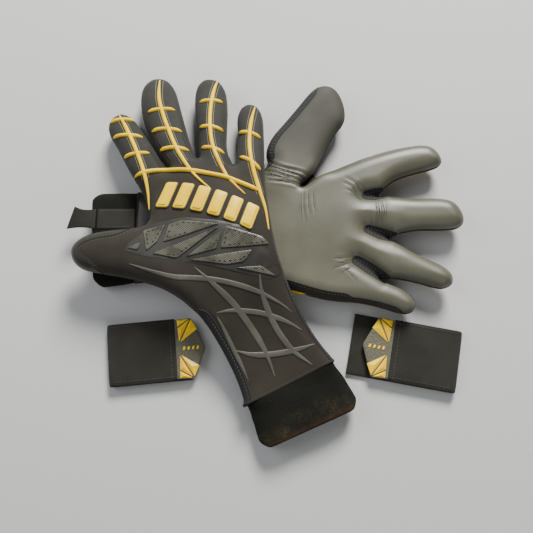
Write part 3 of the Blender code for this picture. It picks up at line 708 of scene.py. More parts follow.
def sweep(build, points, normals, widths, heights, sides=10, power=1.0):
    """A closed bead along points: half widths along the skin and half heights away from it."""
    points, normals = np.asarray(points, float), unit(np.asarray(normals, float))
    count = len(points)
    tangent = unit(np.gradient(points, axis=0))
    side = unit(np.cross(tangent, normals))
    up = np.cross(side, tangent)
    across, rise = rounded_section(np.linspace(0, 2 * np.pi, sides, endpoint=False), power, power)
    across = across * np.broadcast_to(widths, count)[:, None]
    rise = rise * np.broadcast_to(heights, count)[:, None]
    rings = points[:, None] + side[:, None] * across[..., None] + up[:, None] * rise[..., None]
    build.add(rings, ring_faces(count, sides))


# Half width and half height of each kind of stitch, at its ends and in its middle.
STITCHES = {
    "seam": ((0.16, 0.30), (0.12, 0.24)),
    "strap": ((0.16, 0.30), (0.10, 0.22)),
    "strap_end": ((0.14, 0.24), (0.10, 0.20)),
    "tape": ((0.14, 0.26), (0.10, 0.20)),
}


def stitch(build, places, normal, kind):
    """A short thread through 3 places."""
    width, height = STITCHES[kind]
    sweep(build, places, [normal] * 3, [*width, width[0]], [*height, height[0]], 5)


def taper(count, start, end, power=1.0):
    """From 0 to 1 over the first share of the points, and back to 0 over the last share."""
    t = np.linspace(0, 1, count)
    rise = np.clip(t / start, 0, 1) ** power if start else np.ones(count)
    return np.minimum(rise, np.clip((1 - t) / end, 0, 1) ** power) if end else rise


def lay(glove, path, towards=1, lift=0.0, margin=0.9):
    """The path on the glove's skin as evenly spaced points with the skin's normals."""
    plan = resample(catmull(path, 14, False) if len(path) > 2 else path, 0.35)
    plan = plan[glove.outside.at(*plan.T[:2]) < -margin]
    points, normals = glove.skin_with_normal(*plan.T[:2], towards)
    both = resample(np.concatenate([points + normals * lift, normals], 1), 0.8)
    return both[:, :3], unit(both[:, 3:])


def arch(a, b, rise, count):
    """Points from a to b along a shallow arch."""
    a, across = np.array(a), np.subtract(b, a)
    normal = np.array([-across[1], across[0]]) / np.linalg.norm(across)
    t = np.linspace(0, 1, count)[:, None]
    return a + across * t + normal * rise * 4 * t * (1 - t)


def turn_of(outline):
    """1 for an outline that runs to the left round its middle, and -1 for one that runs to the right."""
    x, y = outline.T
    return 1 if np.sum(x * np.roll(y, -1) - np.roll(x, -1) * y) > 0 else -1


def inset(outline, amount):
    """A convex or nearly convex outline moved inwards."""
    outline = np.asarray(outline, float)
    edges = unit(np.roll(outline, -1, 0) - outline)
    after = np.stack([-edges[:, 1], edges[:, 0]], 1) * turn_of(outline)
    before = np.roll(after, 1, 0)
    share = amount / np.maximum(0.45, 1 + np.sum(before * after, 1))
    return outline + (before + after) * share[:, None]


def rounded(outline, radius, steps=3):
    """The outline with its corners rounded."""
    outline = np.asarray(outline, float)
    out = []
    for before, corner, after in zip(np.roll(outline, 1, 0), outline, np.roll(outline, -1, 0)):
        back, on = before - corner, after - corner
        reach = min(radius, 0.45 * np.linalg.norm(back), 0.45 * np.linalg.norm(on))
        p, q = corner + unit(back) * reach, corner + unit(on) * reach
        out += [(1 - t) ** 2 * p + 2 * t * (1 - t) * corner + t * t * q for t in np.linspace(0, 1, steps + 1)]
    return np.array(out)


def plate(build, outline, place, height, edge, sink, spacing):
    """A pad with a rounded edge of that size and a top of triangles that far apart.

    place(x, y, lift) gives points in space, and the pad's foot is sunk below lift 0."""
    ring = resample(close(outline), min(spacing, 1.3))[:-1]
    ring = ring[:: turn_of(ring)]
    count = len(ring)
    levels = [(0, -sink), (0, height - edge), (0.3 * edge, height - 0.3 * edge)]
    walls = [np.column_stack([inset(ring, inwards), [lift] * count]) for inwards, lift in levels]
    top = inset(ring, edge)
    spans = [np.arange(low + spacing / 2, high, spacing) for low, high in zip(top.min(0), top.max(0))]
    gx, gy = np.meshgrid(*spans, indexing="ij")
    deep = polygon_distance(gx, gy, top) < -0.45 * spacing
    plan = [Vector(p) for p in np.concatenate([top, np.stack([gx[deep], gy[deep]], 1)])]
    edges = [(i, (i + 1) % count) for i in range(count)]
    flat, _, tiles, sources, *_ = delaunay_2d_cdt(plan, edges, [], 1, 1e-4)
    points = place(*np.concatenate([*walls, [(*p, height) for p in flat]]).T)
    base = len(levels) * count
    rim = {old: base + new for new, olds in enumerate(sources) for old in olds}
    faces = [face[::-1] for face in ring_faces(len(levels), count, False)]
    faces += [(base - count + i, base - count + j, rim[j], rim[i]) for i, j in edges]
    faces += [[base + k for k in tile] for tile in tiles]
    build.add(points, faces + [range(count - 1, -1, -1)])


def on_skin(glove):
    """A place function for plates on the back of the glove."""

    def place(x, y, lift):
        points, normals = glove.skin_with_normal(x, y)
        return points + normals * lift[:, None]

    return place


# ---------------------------------------------------------------- the skin
def surface_net(values, origin):
    """The zero level of a grid of values as points and quads, facing out of the part below 0."""
    sign = values < 0
    cells = tuple(size - 1 for size in values.shape)
    total, count = np.zeros((*cells, 3), np.float32), np.zeros(cells, np.float32)

    def at(array, corner):
        return array[tuple(slice(start, start + size) for start, size in zip(corner, cells))]

    for corner in np.ndindex(2, 2, 2):
        for axis in range(3):
            if corner[axis]:
                continue
            other = tuple(1 if k == axis else corner[k] for k in range(3))
            near, far = at(values, corner), at(values, other)
            crossing = at(sign, corner) != at(sign, other)
            share = np.where(crossing, near / np.where(crossing, near - far, 1), 0)
            for k in range(3):
                total[..., k] += np.where(crossing, corner[k] + (share if k == axis else 0), 0)
            count += crossing
    used = count > 0
    index = np.full(cells, -1, np.int64)
    index[used] = np.arange(used.sum())
    points = (np.argwhere(used) + total[used] / count[used][:, None]) * CELL + origin
    quads = []
    for axis in range(3):
        u, v = (axis + 1) % 3, (axis + 2) % 3
        spots = np.argwhere(np.diff(sign, axis=axis))
        spots = spots[(spots[:, [u, v]] > 0).all(1) & (spots[:, u] < cells[u]) & (spots[:, v] < cells[v])]
        steps = np.zeros((4, 3), int)
        steps[:, u], steps[:, v] = (1, 0, 0, 1), (1, 1, 0, 0)
        quad = np.stack([index[tuple((spots - step).T)] for step in steps], 1)
        out = sign[tuple(spots.T)]
        quad[~out] = quad[~out][:, ::-1]
        quads.append(quad)
    return points, np.concatenate(quads)


def skin_mesh(name, points, quads, normals):
    """A mesh of quads with its own normals, and the plan as its texture coordinates."""
    data = bpy.data.meshes.new(name)
    quads = quads.astype(np.int32)
    data.vertices.add(len(points))
    data.vertices.foreach_set("co", (points.astype(np.float32) * MM).ravel())
    data.loops.add(quads.size)
    data.loops.foreach_set("vertex_index", quads.ravel())
    data.polygons.add(len(quads))
    data.polygons.foreach_set("loop_start", np.arange(0, quads.size, 4, dtype=np.int32))
    data.update(calc_edges=True)
    data.validate()
    data.shade_smooth()
    plan = (points[quads.ravel(), :2] * MM).astype(np.float32)
    data.uv_layers.new(name="plan").data.foreach_set("uv", plan.ravel())
    data.normals_split_custom_set_from_vertices(normals.tolist())
    return data


def vertex_normals(points, quads):
    """The direction out of the net at each of its points."""
    a, b, c, d = (points[quads[:, k]] for k in range(4))
    normals = np.zeros_like(points)
    for k in range(4):
        np.add.at(normals, quads[:, k], np.cross(c - a, d - b))
    return unit(normals)


def build_skin(glove):
    """The whole glove's skin as one net of evenly spaced points."""
    spec = glove.spec
    knots = spec["hand"] + sum(spec["fingers"].values(), [])
    z_low = min(knot[2] for knot in knots) - 12
    z_high = max(knot[2] for knot in spec["hand"]) + 13
    origin = np.array([*(glove.low + MARGIN / 2), z_low])
    size = np.array([*(glove.high - MARGIN / 2), z_high]) - origin
    counts = np.ceil(size / CELL).astype(int) + 1
    axes = [start + np.arange(count) * CELL for start, count in zip(origin, counts)]
    grid = np.stack(np.meshgrid(*axes, indexing="ij"), -1)
    points, quads = surface_net(glove.level(grid).astype(np.float32), origin)
    for _ in range(4):
        slope = slope_of(glove.level, points, 0.25)
        step = glove.level(points)[:, None] * slope / np.maximum((slope**2).sum(1, keepdims=True), 1e-6)
        points = points - shortened(step, 0.8)
        total, count = np.zeros_like(points), np.zeros(len(points))
        for k in range(4):
            for other in ((k + 1) % 4, (k + 3) % 4):
                np.add.at(total, quads[:, k], points[quads[:, other]])
                np.add.at(count, quads[:, k], 1)
        points = points + 0.5 * along_skin(total / count[:, None] - points, unit(slope))
    return points, quads


def shortened(steps, longest):
    """The steps, none of them longer than that."""
    return steps * np.minimum(1, longest / np.maximum(np.linalg.norm(steps, axis=1, keepdims=True), 1e-9))


def along_skin(steps, normals):
    """The steps without the part of them that leaves the skin."""
    return steps - (steps * normals).sum(1, keepdims=True) * normals


def finger_regions(glove, middle, quads):
    """0 for each quad of the hand's skin, and 1 to 5 for each of the thumb's and the fingers'.

    Each finger's quads are the ones joined to its tip without passing behind its split."""
    region = np.zeros(len(quads), int)
    for number, finger in enumerate(FINGERS, 1):
        base, forward = glove.finger_axis(finger)
        route = catmull(glove.spec["fingers"][finger], 6, False)[:, :2]
        beyond = (middle - base) @ forward > glove.spec["split"][finger]
        near = line_distance(*middle.T, route) < FINGER_REACH
        allowed = np.where(beyond & near & (region == 0))[0]
        corners = quads[allowed]
        reached = np.zeros(quads.max() + 1, bool)
        reached[corners[np.hypot(*(middle[allowed] - route[-1]).T) < TIP_REACH].ravel()] = True
        count = 0
        while reached.sum() != count:
            count = reached.sum()
            reached[corners[reached[corners].any(1)].ravel()] = True
        region[allowed[reached[corners].all(1)]] = number
    return region


def strip_level(glove, places, strips):
    """Above 0 within a strip of that width along the outline, near that path."""
    x, y = places[:, 0], places[:, 1]
    level = np.full(len(places), -1.0)
    for path, reach, width in strips:
        wide = width * smoothstep(reach, reach * 0.4, line_distance(x, y, path))
        level = np.maximum(level, (glove.outside.at(x, y) + wide) / 12)
    return level


def seam_level(glove, places):
    """Above 0 on the back fabric, and below 0 on the palm latex."""
    level = np.minimum(glove.over(places) + 0.12, -strip_level(glove, places, glove.spec["latex_strips"]))
    return np.maximum(level, strip_level(glove, places, glove.spec["fabric_strips"]))


def gusset_level(glove, places):
    """Above 0 on the dark gussets between the fingers and along an edge of the glove."""
    share = glove.over(places)
    between = np.minimum((1.0 - glove.slots.at(places[:, 0], places[:, 1])) / 6, (0.25 - share) / 3)
    lowest = 0.6 if glove.back > 0 else 0.97
    edge = np.minimum(strip_level(glove, places, glove.spec["gusset_strips"]), share + lowest)
    return np.maximum(between, edge)


def snap(glove, points, border, level):
    """Moves the border's vertices along the skin onto the line where the level is 0."""
    moved = points[border]
    for _ in range(SNAP_ROUNDS):
        skin = unit(slope_of(glove.level, moved))
        slope = along_skin(slope_of(lambda places: level(glove, places), moved), skin)
        steepness = np.maximum((slope**2).sum(1, keepdims=True), 1.5e-3)
        moved = moved + shortened(-level(glove, moved)[:, None] * slope / steepness, SNAP_STEP)
        moved = moved - skin * (glove.level(moved) * 8).clip(-0.4, 0.4)[:, None]
    points[border] += shortened(moved - points[border], 0.9 * CELL)


def snap_borders(glove, points, quads, kinds):
    """Snaps the vertices between latex, fabric and gusset onto the lines between them."""
    palm, back, gusset = (np.isin(np.arange(len(points)), quads[kinds == kind]) for kind in range(3))
    snap(glove, points, np.where(gusset & (palm | back))[0], gusset_level)
    snap(glove, points, np.where(palm & back & ~gusset)[0], seam_level)


# Folds in the left palm: the path, the depth and the width of each.
CREASES = [
    ([(-1.2, 79.0), (11.0, 71.2), (25.3, 67.4), (34.0, 64.9)], 1.15, 1.15),
    ([(-0.8, 74.4), (12.0, 67.6), (26.2, 63.6), (33.6, 60.6)], 1.25, 1.1),
    ([(0.0, 69.0), (13.4, 63.8), (28.2, 60.0), (33.0, 58.0)], 1.15, 1.05),
    ([(0.4, 64.6), (14.4, 60.8), (28.0, 57.4)], 0.95, 1.0),
    ([(0.8, 60.0), (15.4, 58.0), (29.3, 54.9)], 0.8, 1.0),
    ([(30.6, 50.9), (30.2, 38.0), (31.6, 23.5)], 0.2, 1.0),
    ([(34.2, 51.9), (33.8, 40.0), (35.2, 27.5)], 0.22, 1.0),
    ([(37.8, 50.9), (38.0, 41.1), (39.4, 31.1)], 0.16, 1.0),
    ([(62.9, 57.6), (69.5, 53.8), (77.0, 49.4)], 0.26, 1.0),
    ([(64.0, 62.4), (72.4, 57.4), (80.0, 52.6)], 0.24, 1.0),
    ([(64.0, 52.0), (71.0, 49.2), (77.6, 46.2)], 0.18, 1.0),
    ([(87.9, 41.7), (88.9, 32.5), (87.6, 22.6)], 0.28, 1.0),
    ([(91.8, 41.8), (92.9, 31.8), (91.2, 21.8)], 0.24, 1.0),
    ([(95.6, 40.8), (96.4, 33.8), (95.4, 26.8)], 0.18, 1.0),
    ([(68.0, -4.4), (61.0, -6.0), (53.0, -6.2)], 0.24, 1.0),
    ([(68.5, -9.0), (60.0, -12.0), (52.0, -15.0)], 0.24, 1.0),
    ([(71.0, -25.0), (66.0, -19.0), (61.0, -14.0)], 0.18, 1.0),
]
# Wrinkles too fine to shape, which are drawn as thin lines of painted shade, as are the bottoms of the
# creases.
WRINKLES = [
    [(-0.4, 76.6), (9.0, 70.6), (21.5, 66.6), (31.0, 63.4)],
    [(3.0, 70.2), (14.0, 65.4), (25.0, 62.4)],
    [(1.5, 66.4), (12.0, 62.6), (22.5, 60.2)],
    [(8.0, 60.6), (19.0, 58.0), (28.0, 55.0)],
    [(28.4, 49.0), (28.0, 37.0), (29.0, 27.0)],
    [(66.8, 60.0), (73.6, 55.6), (79.0, 51.4)],
    [(65.5, 54.6), (72.0, 51.2), (77.5, 47.8)],
    [(68.6, 48.8), (73.4, 47.2), (78.0, 45.0)],
    [(90.0, 40.6), (91.0, 32.0), (89.6, 24.0)],
    [(93.8, 41.0), (94.8, 33.0), (93.4, 25.4)],
    [(69.0, -6.6), (62.0, -8.6), (55.0, -10.4)],
    [(70.0, -11.6), (63.6, -15.0), (57.4, -19.6)],
]
THUMB_SLIT_END = (27.6, 57.2)
# Folds on the back of the right wrist, in the same form.
BACK_FOLDS = [
    ([(-46.0, -52.0), (-37.0, -63.0), (-30.0, -76.0)], 0.5, 2.2),
    ([(20.0, -48.0), (27.0, -62.0), (36.0, -74.0)], 0.4, 2.0),
]


def crease(x, y, path, depth, width):
    """A valley along the path with a soft ridge on each side, fading out at its ends."""
    line = resample(catmull(path, 8, False), 1.0)
    low, high = line.min(0) - 5 * width, line.max(0) + 5 * width
    near = (x > low[0]) & (x < high[0]) & (y > low[1]) & (y < high[1])
    out = np.zeros(np.shape(x))
    if not near.any():
        return out
    gaps = np.hypot(x[near][:, None] - line[:, 0], y[near][:, None] - line[:, 1])
    nearest, gap = np.argmin(gaps, 1), gaps.min(1)
    last = len(line) - 1
    fade = np.sqrt(np.sin(np.pi * np.clip(nearest / last, 0.02, 0.98)))
    beyond = np.where((nearest == 0) | (nearest == last), 0.4, 1.0)
    ridge = 0.5 * np.exp(-(((gap - 2.1 * width) / width) ** 2))
    out[near] = depth * (ridge - np.exp(-((gap / width) ** 2))) * fade * beyond
    return out


def relief(glove, x, y, towards):
    """How far the skin stands out from its smooth form there: soft unevenness and creases."""
    height = (0.10 if towards > 0 else 0.13) * (
        np.sin(0.071 * x + 0.043 * y + 1.3)
        + 0.7 * np.sin(-0.037 * x + 0.094 * y + 0.4 + 1.2 * np.sin(0.041 * x))
        + 0.35 * np.sin(0.121 * x - 0.083 * y + 2.1 + 1.5 * np.sin(0.057 * y))
    )
    folds = {("left", -1): CREASES, ("right", 1): BACK_FOLDS}
    for path, depth, width in folds.get((glove.side, towards), []):
        height = height + crease(x, y, path, depth, width)
    return height


SKINS = (("palm_skin", "latex_foam"), ("back_skin", "backhand_fabric"), ("gusset", "gusset_mesh"))
SNAP_ROUNDS = 5
SNAP_STEP = 0.5  # the longest step of one round
RELIEF_FADE = (0.15, 0.6)  # the relief fades in between these shares of the height
SEAM_PITCH = 0.9
SINGLE_ROW = (1.7,)  # how far the rows of stitches lie from a seam
DOUBLE_ROW = (1.5, 3.0)


def build_glove(side):
    """The skin of one glove in pieces, cut off where the cuff is sewn on, with its seams."""
    glove = Glove(side)
    points, quads = build_skin(glove)
    seam, inward = glove.cuff_axis()
    beyond = (points[:, :2] - seam) @ inward
    quads = quads[(beyond[quads] > -0.5 * CELL).all(1)]
    edge = np.isin(np.arange(len(points)), quads) & (beyond < 0.6 * CELL)
    points[edge, :2] -= beyond[edge, None] * inward
    middle = points[quads].mean(1)
    kinds = np.where(seam_level(glove, middle) > 0, 1, 0)
    kinds[gusset_level(glove, middle) > 0] = 2
    snap_borders(glove, points, quads, kinds)
    over, normals = glove.over(points), vertex_normals(points, quads)
    for towards in (1, -1):
        share = smoothstep(*RELIEF_FADE, over * towards)
        height = relief(glove, points[:, 0], points[:, 1], towards) * share
        points = points + normals * height[:, None]
    normals = vertex_normals(points, quads)
    region = finger_regions(glove, points[quads].mean(1)[:, :2], quads)
    for number, zone in enumerate(("hand", *FINGERS)):
        nodes = [f"{side}_{zone}_latex", f"{side}_{zone}_back"]
        if zone == "hand":
            nodes = [f"{side}_palm_latex", f"{side}_backhand"]
        for kind, (label, material) in enumerate(SKINS):
            chosen = quads[(region == number) & (kinds == kind)]
            if not len(chosen):
                continue
            used, flat = np.unique(chosen.ravel(), return_inverse=True)
            name = f"{side}_{zone}_{label}"
            data = skin_mesh(name, points[used], flat.reshape(-1, 4), normals[used])
            made = piece(name, data, material, (glove, zone), nodes[kind : kind + 1])
        seam_threads(glove, zone, chains(quads, kinds, region == number), points, normals)
    return glove


def chains(quads, kinds, use):
    """Runs of vertices along the borders between faces of different kinds."""
    owners = {}
    for quad, kind, used in zip(quads.tolist(), kinds.tolist(), use.tolist()):
        for a, b in zip(quad, quad[1:] + quad[:1]):
            owners.setdefault((min(a, b), max(a, b)), []).append((kind, used))
    links = {}
    for (a, b), faces in owners.items():
        if len(faces) == 2 and faces[0][0] != faces[1][0] and faces[0][1] and faces[1][1]:
            links.setdefault(a, []).append(b)
            links.setdefault(b, []).append(a)
    runs, seen = [], set()
    for start in [v for v, near in links.items() if len(near) == 1] + list(links):
        run, following = [], [start]
        while following and following[0] not in seen:
            run.append(following[0])
            seen.add(following[0])
            following = [v for v in links[run[-1]] if v not in seen]
        if len(run) > 8 and run[0] in links[run[-1]]:
            run.append(run[0])
        if len(run) > 5:
            runs.append(run)
    return runs


def seam_threads(glove, zone, runs, points, normals):
    """A dark cord along each run of a seam, with one or two rows of stitches beside it."""
    cord, thread = Build(), Build()
    for run in runs:
        both = resample(np.concatenate([smooth_run(points[run], 3), normals[run]], 1), SEAM_PITCH)
        where, normal = both[:, :3], unit(smooth_run(both[:, 3:], 2))
        on_gusset = np.median(gusset_level(glove, where)) > -0.08
        double = on_gusset and glove.back < 0
        closed = np.allclose(where[0], where[-1])
        ends = 1.0 if closed else 0.25 + 0.75 * taper(len(where), 0.02, 0.02)
        sweep(cord, where, normal, (0.8 if double else 0.55) * ends, 0.5 * ends, 8)
        aside = unit(np.cross(normal, unit(np.gradient(where, axis=0))))
        level = gusset_level if on_gusset else Glove.over
        if np.median(level(glove, where + aside) - level(glove, where - aside)) < 0:
            aside = -aside
        for k in range(2, len(where) - 3, 3):
            for away in DOUBLE_ROW if double else SINGLE_ROW:
                a, b = (drop(glove, where[at] + aside[at] * away) for at in (k, k + 1))
                middle, reach = (a + b) / 2, (b - a) * 0.75
                places = [middle - reach, middle, middle + reach]
                stitch(thread, places, unit(normal[k] + normal[k + 1]), "seam")
    name = f"{glove.side}_{zone}"
    for label, shape, material in (("seam", cord, "seam_cord"), ("stitches", thread, "seam_thread")):
        if shape.count:
            piece(f"{name}_{label}", shape, material, (glove, zone))


# ---------------------------------------------------------------- the printed and moulded design
# Places on the right glove's back, in millimetres of the row frame. The left glove takes
# the same design along its own hand and fingers.
SPINES = {
    "index": [
        (-123.6, 119.0), (-117.5, 107.5), (-110.9, 94.1), (-103.6, 77.0), (-97.3, 59.8), (-93.8, 44.5),
        (-92.2, 29.9),
    ],
    "middle": [
        (-90.6, 151.0), (-89.7, 131.7), (-86.0, 117.0), (-81.2, 102.9), (-71.4, 79.5), (-59.4, 60.4),
        (-51.5, 51.5), (-44.3, 45.2),
    ],
    "ring": [
        (-41.6, 152.0), (-44.9, 135.0), (-46.4, 118.0), (-45.8, 100.0), (-42.3, 80.5), (-32.6, 59.0),
        (-24.6, 49.0), (-16.7, 41.3),
    ],
    "little": [
        (-9.8, 126.5), (-12.8, 110.0), (-13.8, 97.0), (-13.6, 82.3), (-10.9, 64.6), (-5.6, 45.6),
        (-1.2, 30.3), (1.6, 12.6),
    ],
}
BARS = {
    "index": [
        ((-130.2, 111.6), (-111.0, 113.2)), ((-127.0, 96.9), (-101.4, 94.9)),
        ((-119.6, 75.6), (-94.4, 78.6)),
    ],
    "middle": [
        ((-98.0, 118.2), (-75.8, 119.0)), ((-93.6, 99.6), (-69.2, 98.0)), ((-86.0, 81.8), (-62.6, 80.2)),
    ],
    "ring": [
        ((-55.6, 127.8), (-36.8, 127.6)), ((-54.6, 103.2), (-35.8, 99.2)), ((-52.4, 83.7), (-34.2, 77.8)),
    ],
    "little": [((-22.6, 100.6), (-5.0, 94.2)), ((-21.4, 75.6), (-5.0, 63.6))],
}
KNUCKLE = [
    (-109.6, 55.6), (-104.8, 58.6), (-97.2, 60.6), (-81.3, 63.0), (-60.2, 61.0), (-45.2, 58.0),
    (-32.4, 55.8), (-20.1, 51.4), (-11.8, 47.9), (-5.6, 44.9),
]
# The upper and the lower edge of the row of plain slanted bars.
PUNCH_TOP = [(-84.0, 52.0), (-63.0, 49.8), (-43.4, 45.2), (-22.4, 38.0), (-3.0, 29.2)]
PUNCH_LOW = [(-88.0, 30.4), (-66.0, 27.8), (-45.6, 23.2), (-24.6, 16.2), (-5.6, 7.8)]
PUNCH_BARS = 6
PUNCH_SLANT = 0.05
# The corners of each glossy shard, and the outline of the dark base under them.
SHARDS = [
    [(-107.5, -3.1), (-97.0, 0.9), (-98.4, -5.2)],
    [(-95.2, 10.6), (-78.2, 15.2), (-84.1, 0.8), (-92.0, -6.0)],
    [(-75.6, 15.2), (-65.4, 18.5), (-36.6, 15.0), (-79.4, 1.0)],
    [(-87.4, -8.2), (-36.4, 12.6), (-68.9, -11.8)],
    [(-61.4, -10.6), (-34.6, 9.6), (-38.6, -4.6)],
    [(-31.4, 13.6), (-3.4, 6.4), (2.0, 0.6), (-18.8, -2.4), (-35.2, -4.0)],
    [(-58.8, -13.2), (-10.6, -4.4), (-17.3, -13.8), (-30.1, -16.4)],
    [(-23.1, -18.6), (-4.1, -16.4), (7.6, -23.6)],
]
SHARD_BASE = [
    (-97.5, 8.0), (-93.0, 15.6), (-77.0, 18.8), (-64.0, 21.0), (-34.0, 17.6), (-10.0, 12.0), (1.5, 6.0),
    (7.5, -6.0), (12.5, -22.0), (4.0, -26.5), (-24.0, -21.5), (-48.0, -17.0), (-70.0, -14.2),
    (-92.0, -11.0), (-109.0, -5.6), (-108.0, -1.2),
]
# The raised lines over the wrist: the path and half the width of each.
WEB = {
    "ray_near": ([(-38.9, -52.4), (-31.6, -66.0), (-24.8, -79.6), (-18.5, -92.0), (-13.6, -102.6)], 1.15),
    "ray_middle": (
        [
            (-55.0, -18.6), (-43.0, -29.1), (-28.6, -42.0), (-19.6, -52.0), (-8.9, -66.6), (0.0, -82.2),
            (6.6, -99.5),
        ],
        2.0,
    ),
    "ray_far": (
        [(-5.2, -22.6), (-3.6, -35.8), (1.9, -51.3), (10.1, -66.6), (20.9, -79.8), (35.2, -90.2)],
        1.9,
    ),
    "cross_top": (
        [
            (-105.0, -15.8), (-87.1, -21.8), (-70.3, -26.2), (-60.0, -26.7), (-43.0, -27.7),
            (-24.8, -30.7), (-5.8, -36.0), (9.6, -43.2), (20.4, -50.4),
        ],
        1.6,
    ),
    "cross_mid": (
        [
            (-38.9, -52.6), (-29.0, -50.6), (-19.6, -50.2), (-5.8, -51.0), (6.0, -54.0), (17.6, -58.4),
            (27.6, -63.8),
        ],
        1.6,
    ),
    "cross_low": (
        [(-24.0, -80.0), (-11.9, -82.6), (0.0, -82.6), (12.0, -81.0), (24.0, -78.4), (37.6, -74.0)],
        1.8,
    ),
}


class Route:
    """A smooth line in the plan, with places told by how far along and how far aside they are."""

    def __init__(self, knots):
        self.points = resample(catmull(np.asarray(knots, float)[:, :2], 16, False), 0.5)
        self.tangent = unit(np.gradient(self.points, axis=0))
        self.step = np.linalg.norm(self.points[1] - self.points[0])

    def read(self, place):
        """How far along and aside the places are."""
        gaps = self.points[None] - place[:, None]
        nearest = np.argmin((gaps**2).sum(-1), 1)
        offset, tangent = place - self.points[nearest], self.tangent[nearest]
        aside = tangent[:, 0] * offset[:, 1] - tangent[:, 1] * offset[:, 0]
        return nearest * self.step + (offset * tangent).sum(1), aside

    def write(self, along, aside):
        """The places that far along and aside."""
        spot = np.clip(np.round(along / self.step).astype(int), 0, len(self.points) - 1)
        tangent = self.tangent[spot]
        left = np.stack([-tangent[:, 1], tangent[:, 0]], 1)
        return self.points[spot] + tangent * (along - spot * self.step)[:, None] + left * aside[:, None]


ROUTES = {}
for side, spec in GLOVES.items():
    for zone, knots in {"hand": spec["hand"], **spec["fingers"]}.items():
        ROUTES[side, zone] = Route(knots)


def plan_for(side, place):
    """The same place of the design on that glove's plan."""
    place = np.asarray(place, float)
    if side == "right":
        return place
    along, aside = ROUTES["right", "hand"].read(place)
    out = ROUTES["left", "hand"].write(along, aside * 0.96)
    for finger in FINGERS[1:]:
        along, aside = ROUTES["right", finger].read(place)
        share = smoothstep(-26, 4, along) * smoothstep(19, 11, np.abs(aside))
        out = out + (ROUTES["left", finger].write(along, aside) - out) * share[:, None]
    return out


THIN_END = 0.38  # half the width of a bead's ends
RIB_LINE_OFFSET = 2.9  # between a finger's spine and the fine lines beside it
RIB_LINE_SHARE = 0.74  # of the spine has them
WELTS = ((2.0, 0.60), (3.9, 0.40))  # how far in from the outline, and half the width
WELT_POINTS = 27
EDGE_CORD_POINTS = (26, 30)  # of the outline, before and after the end of the thumb's slit
EDGE_RIB_SPAN = (13.5, 31.0)
EDGE_RIB_LINE = ((10.2, -27.2), (22.8, -31.2), (34.7, -35.0))


def bead(build, glove, path, thick, tapers, lift, sides=12, tall=1.02, margin=0.9, smoothing=0):
    """A raised bead along a path on the back, from thin ends to its full half width."""
    points, normals = lay(glove, plan_for(glove.side, path), 1, lift, margin)
    if smoothing:
        points, normals = smooth_run(points, smoothing), unit(smooth_run(normals, smoothing))
    wide = THIN_END + thick * taper(len(points), *tapers)
    sweep(build, points, normals, wide, wide * tall + 0.15, sides)


def finger_ribs(glove, finger):
    """The gold spine and cross bars on the back of one finger, and the fine lines beside them."""
    ribs, lines = Build(), Build()
    spine = catmull(SPINES[finger], 14, False)
    bead(ribs, glove, spine, thick=1.36, tapers=(0.16, 0.32, 0.8), lift=0.25)
    margin = 0.9 if glove.side == "right" else 2.6
    for first, last in BARS[finger]:
        bar = arch(first, last, 1.3, 15)
        bead(ribs, glove, bar, 1.12, (0.16, 0.16, 0.7), 0.2, sides=10, tall=1.0, margin=margin)
    plan = resample(plan_for(glove.side, spine), 0.8)
    plan = plan[: int(len(plan) * RIB_LINE_SHARE)]
    tangent = unit(np.gradient(plan, axis=0))
    for offset in (-RIB_LINE_OFFSET, RIB_LINE_OFFSET):
        aside = np.stack([-tangent[:, 1], tangent[:, 0]], 1) * offset
        points, normals = lay(glove, plan + aside, 1, 0.05)
        sweep(lines, points, normals, 0.32, 0.28, 6)
    name = f"{glove.side}_{finger}_rib"
    piece(f"{name}s", ribs, "gold_silicone", (glove, finger), [name])
    piece(f"{name}_lines", lines, "pale_print", (glove, finger))


def crotch_welts(glove):
    """Two narrow welts beside each gap between the fingers, on the back of the glove."""
    ring = resample(catmull(glove.spec["outline"], 5), 1.0)
    for pair, slot in zip(zip(FINGERS[1:], FINGERS[2:]), glove.spec["slots"]):
        start = int(np.argmin(np.hypot(*(ring - slot[1][:2]).T)))
        for finger, way in zip(pair, (-1, 1)):
            welts = Build()
            path = ring[(start + way * np.arange(WELT_POINTS)) % len(ring)]
            outward = glove.outward(*path.T, 0.8)
            for inwards, wide in WELTS:
                points, normals = lay(glove, smooth_run(path - outward * inwards, 4)[::2], 1, 0.05)
                sweep(welts, points, normals, wide * (0.3 + 0.7 * taper(len(points), 0, 0.2)), 0.3, 8)
            name = f"{glove.side}_{finger}_crotch_welts_{'ab'[way > 0]}"
            piece(name, welts, "seam_cord", (glove, finger))


def palm_wrinkles(glove):
    """Thin lines of painted shade along the wrinkles of the left palm, and a dark cord along the edge of the
    slit in the crook of its thumb.
    """
    lines = Build()
    for path, depth in [(path, depth) for path, depth, _ in CREASES] + [(path, 0.0) for path in WRINKLES]:
        points, normals = lay(glove, path, -1)
        share = smoothstep(*RELIEF_FADE, -glove.over(points))
        height = relief(glove, points[:, 0], points[:, 1], -1) * share
        points = points + normals * (height + 0.02 + 0.12 * min(depth, 1.0))[:, None]
        sweep(lines, points, normals, 0.05 + 0.20 * taper(len(points), 0.3, 0.3), 0.10, 6)
    piece("left_palm_wrinkle_shade", lines, "wrinkle_shade", "left_hand")
    # A dark cord along the edge of the slit in the crook of the thumb.
    ring = resample(catmull(glove.spec["outline"], 5), 0.6)
    deepest = int(np.argmin(np.hypot(*(ring - THUMB_SLIT_END).T)))
    path = ring[deepest - EDGE_CORD_POINTS[0] : deepest + EDGE_CORD_POINTS[1]]
    path = smooth_run(path - glove.outward(*path.T, 0.6), 3)[::2]
    points, normals = glove.skin_with_normal(*path.T, -1)
    edge_cord = Build()
    wide = 0.12 + 0.42 * taper(len(points), 0.15, 0.15)
    sweep(edge_cord, points + normals * 0.05, normals, wide, 0.4, 8)
    piece("left_thumb_slit_edge_cord", edge_cord, "seam_cord", "left_hand")


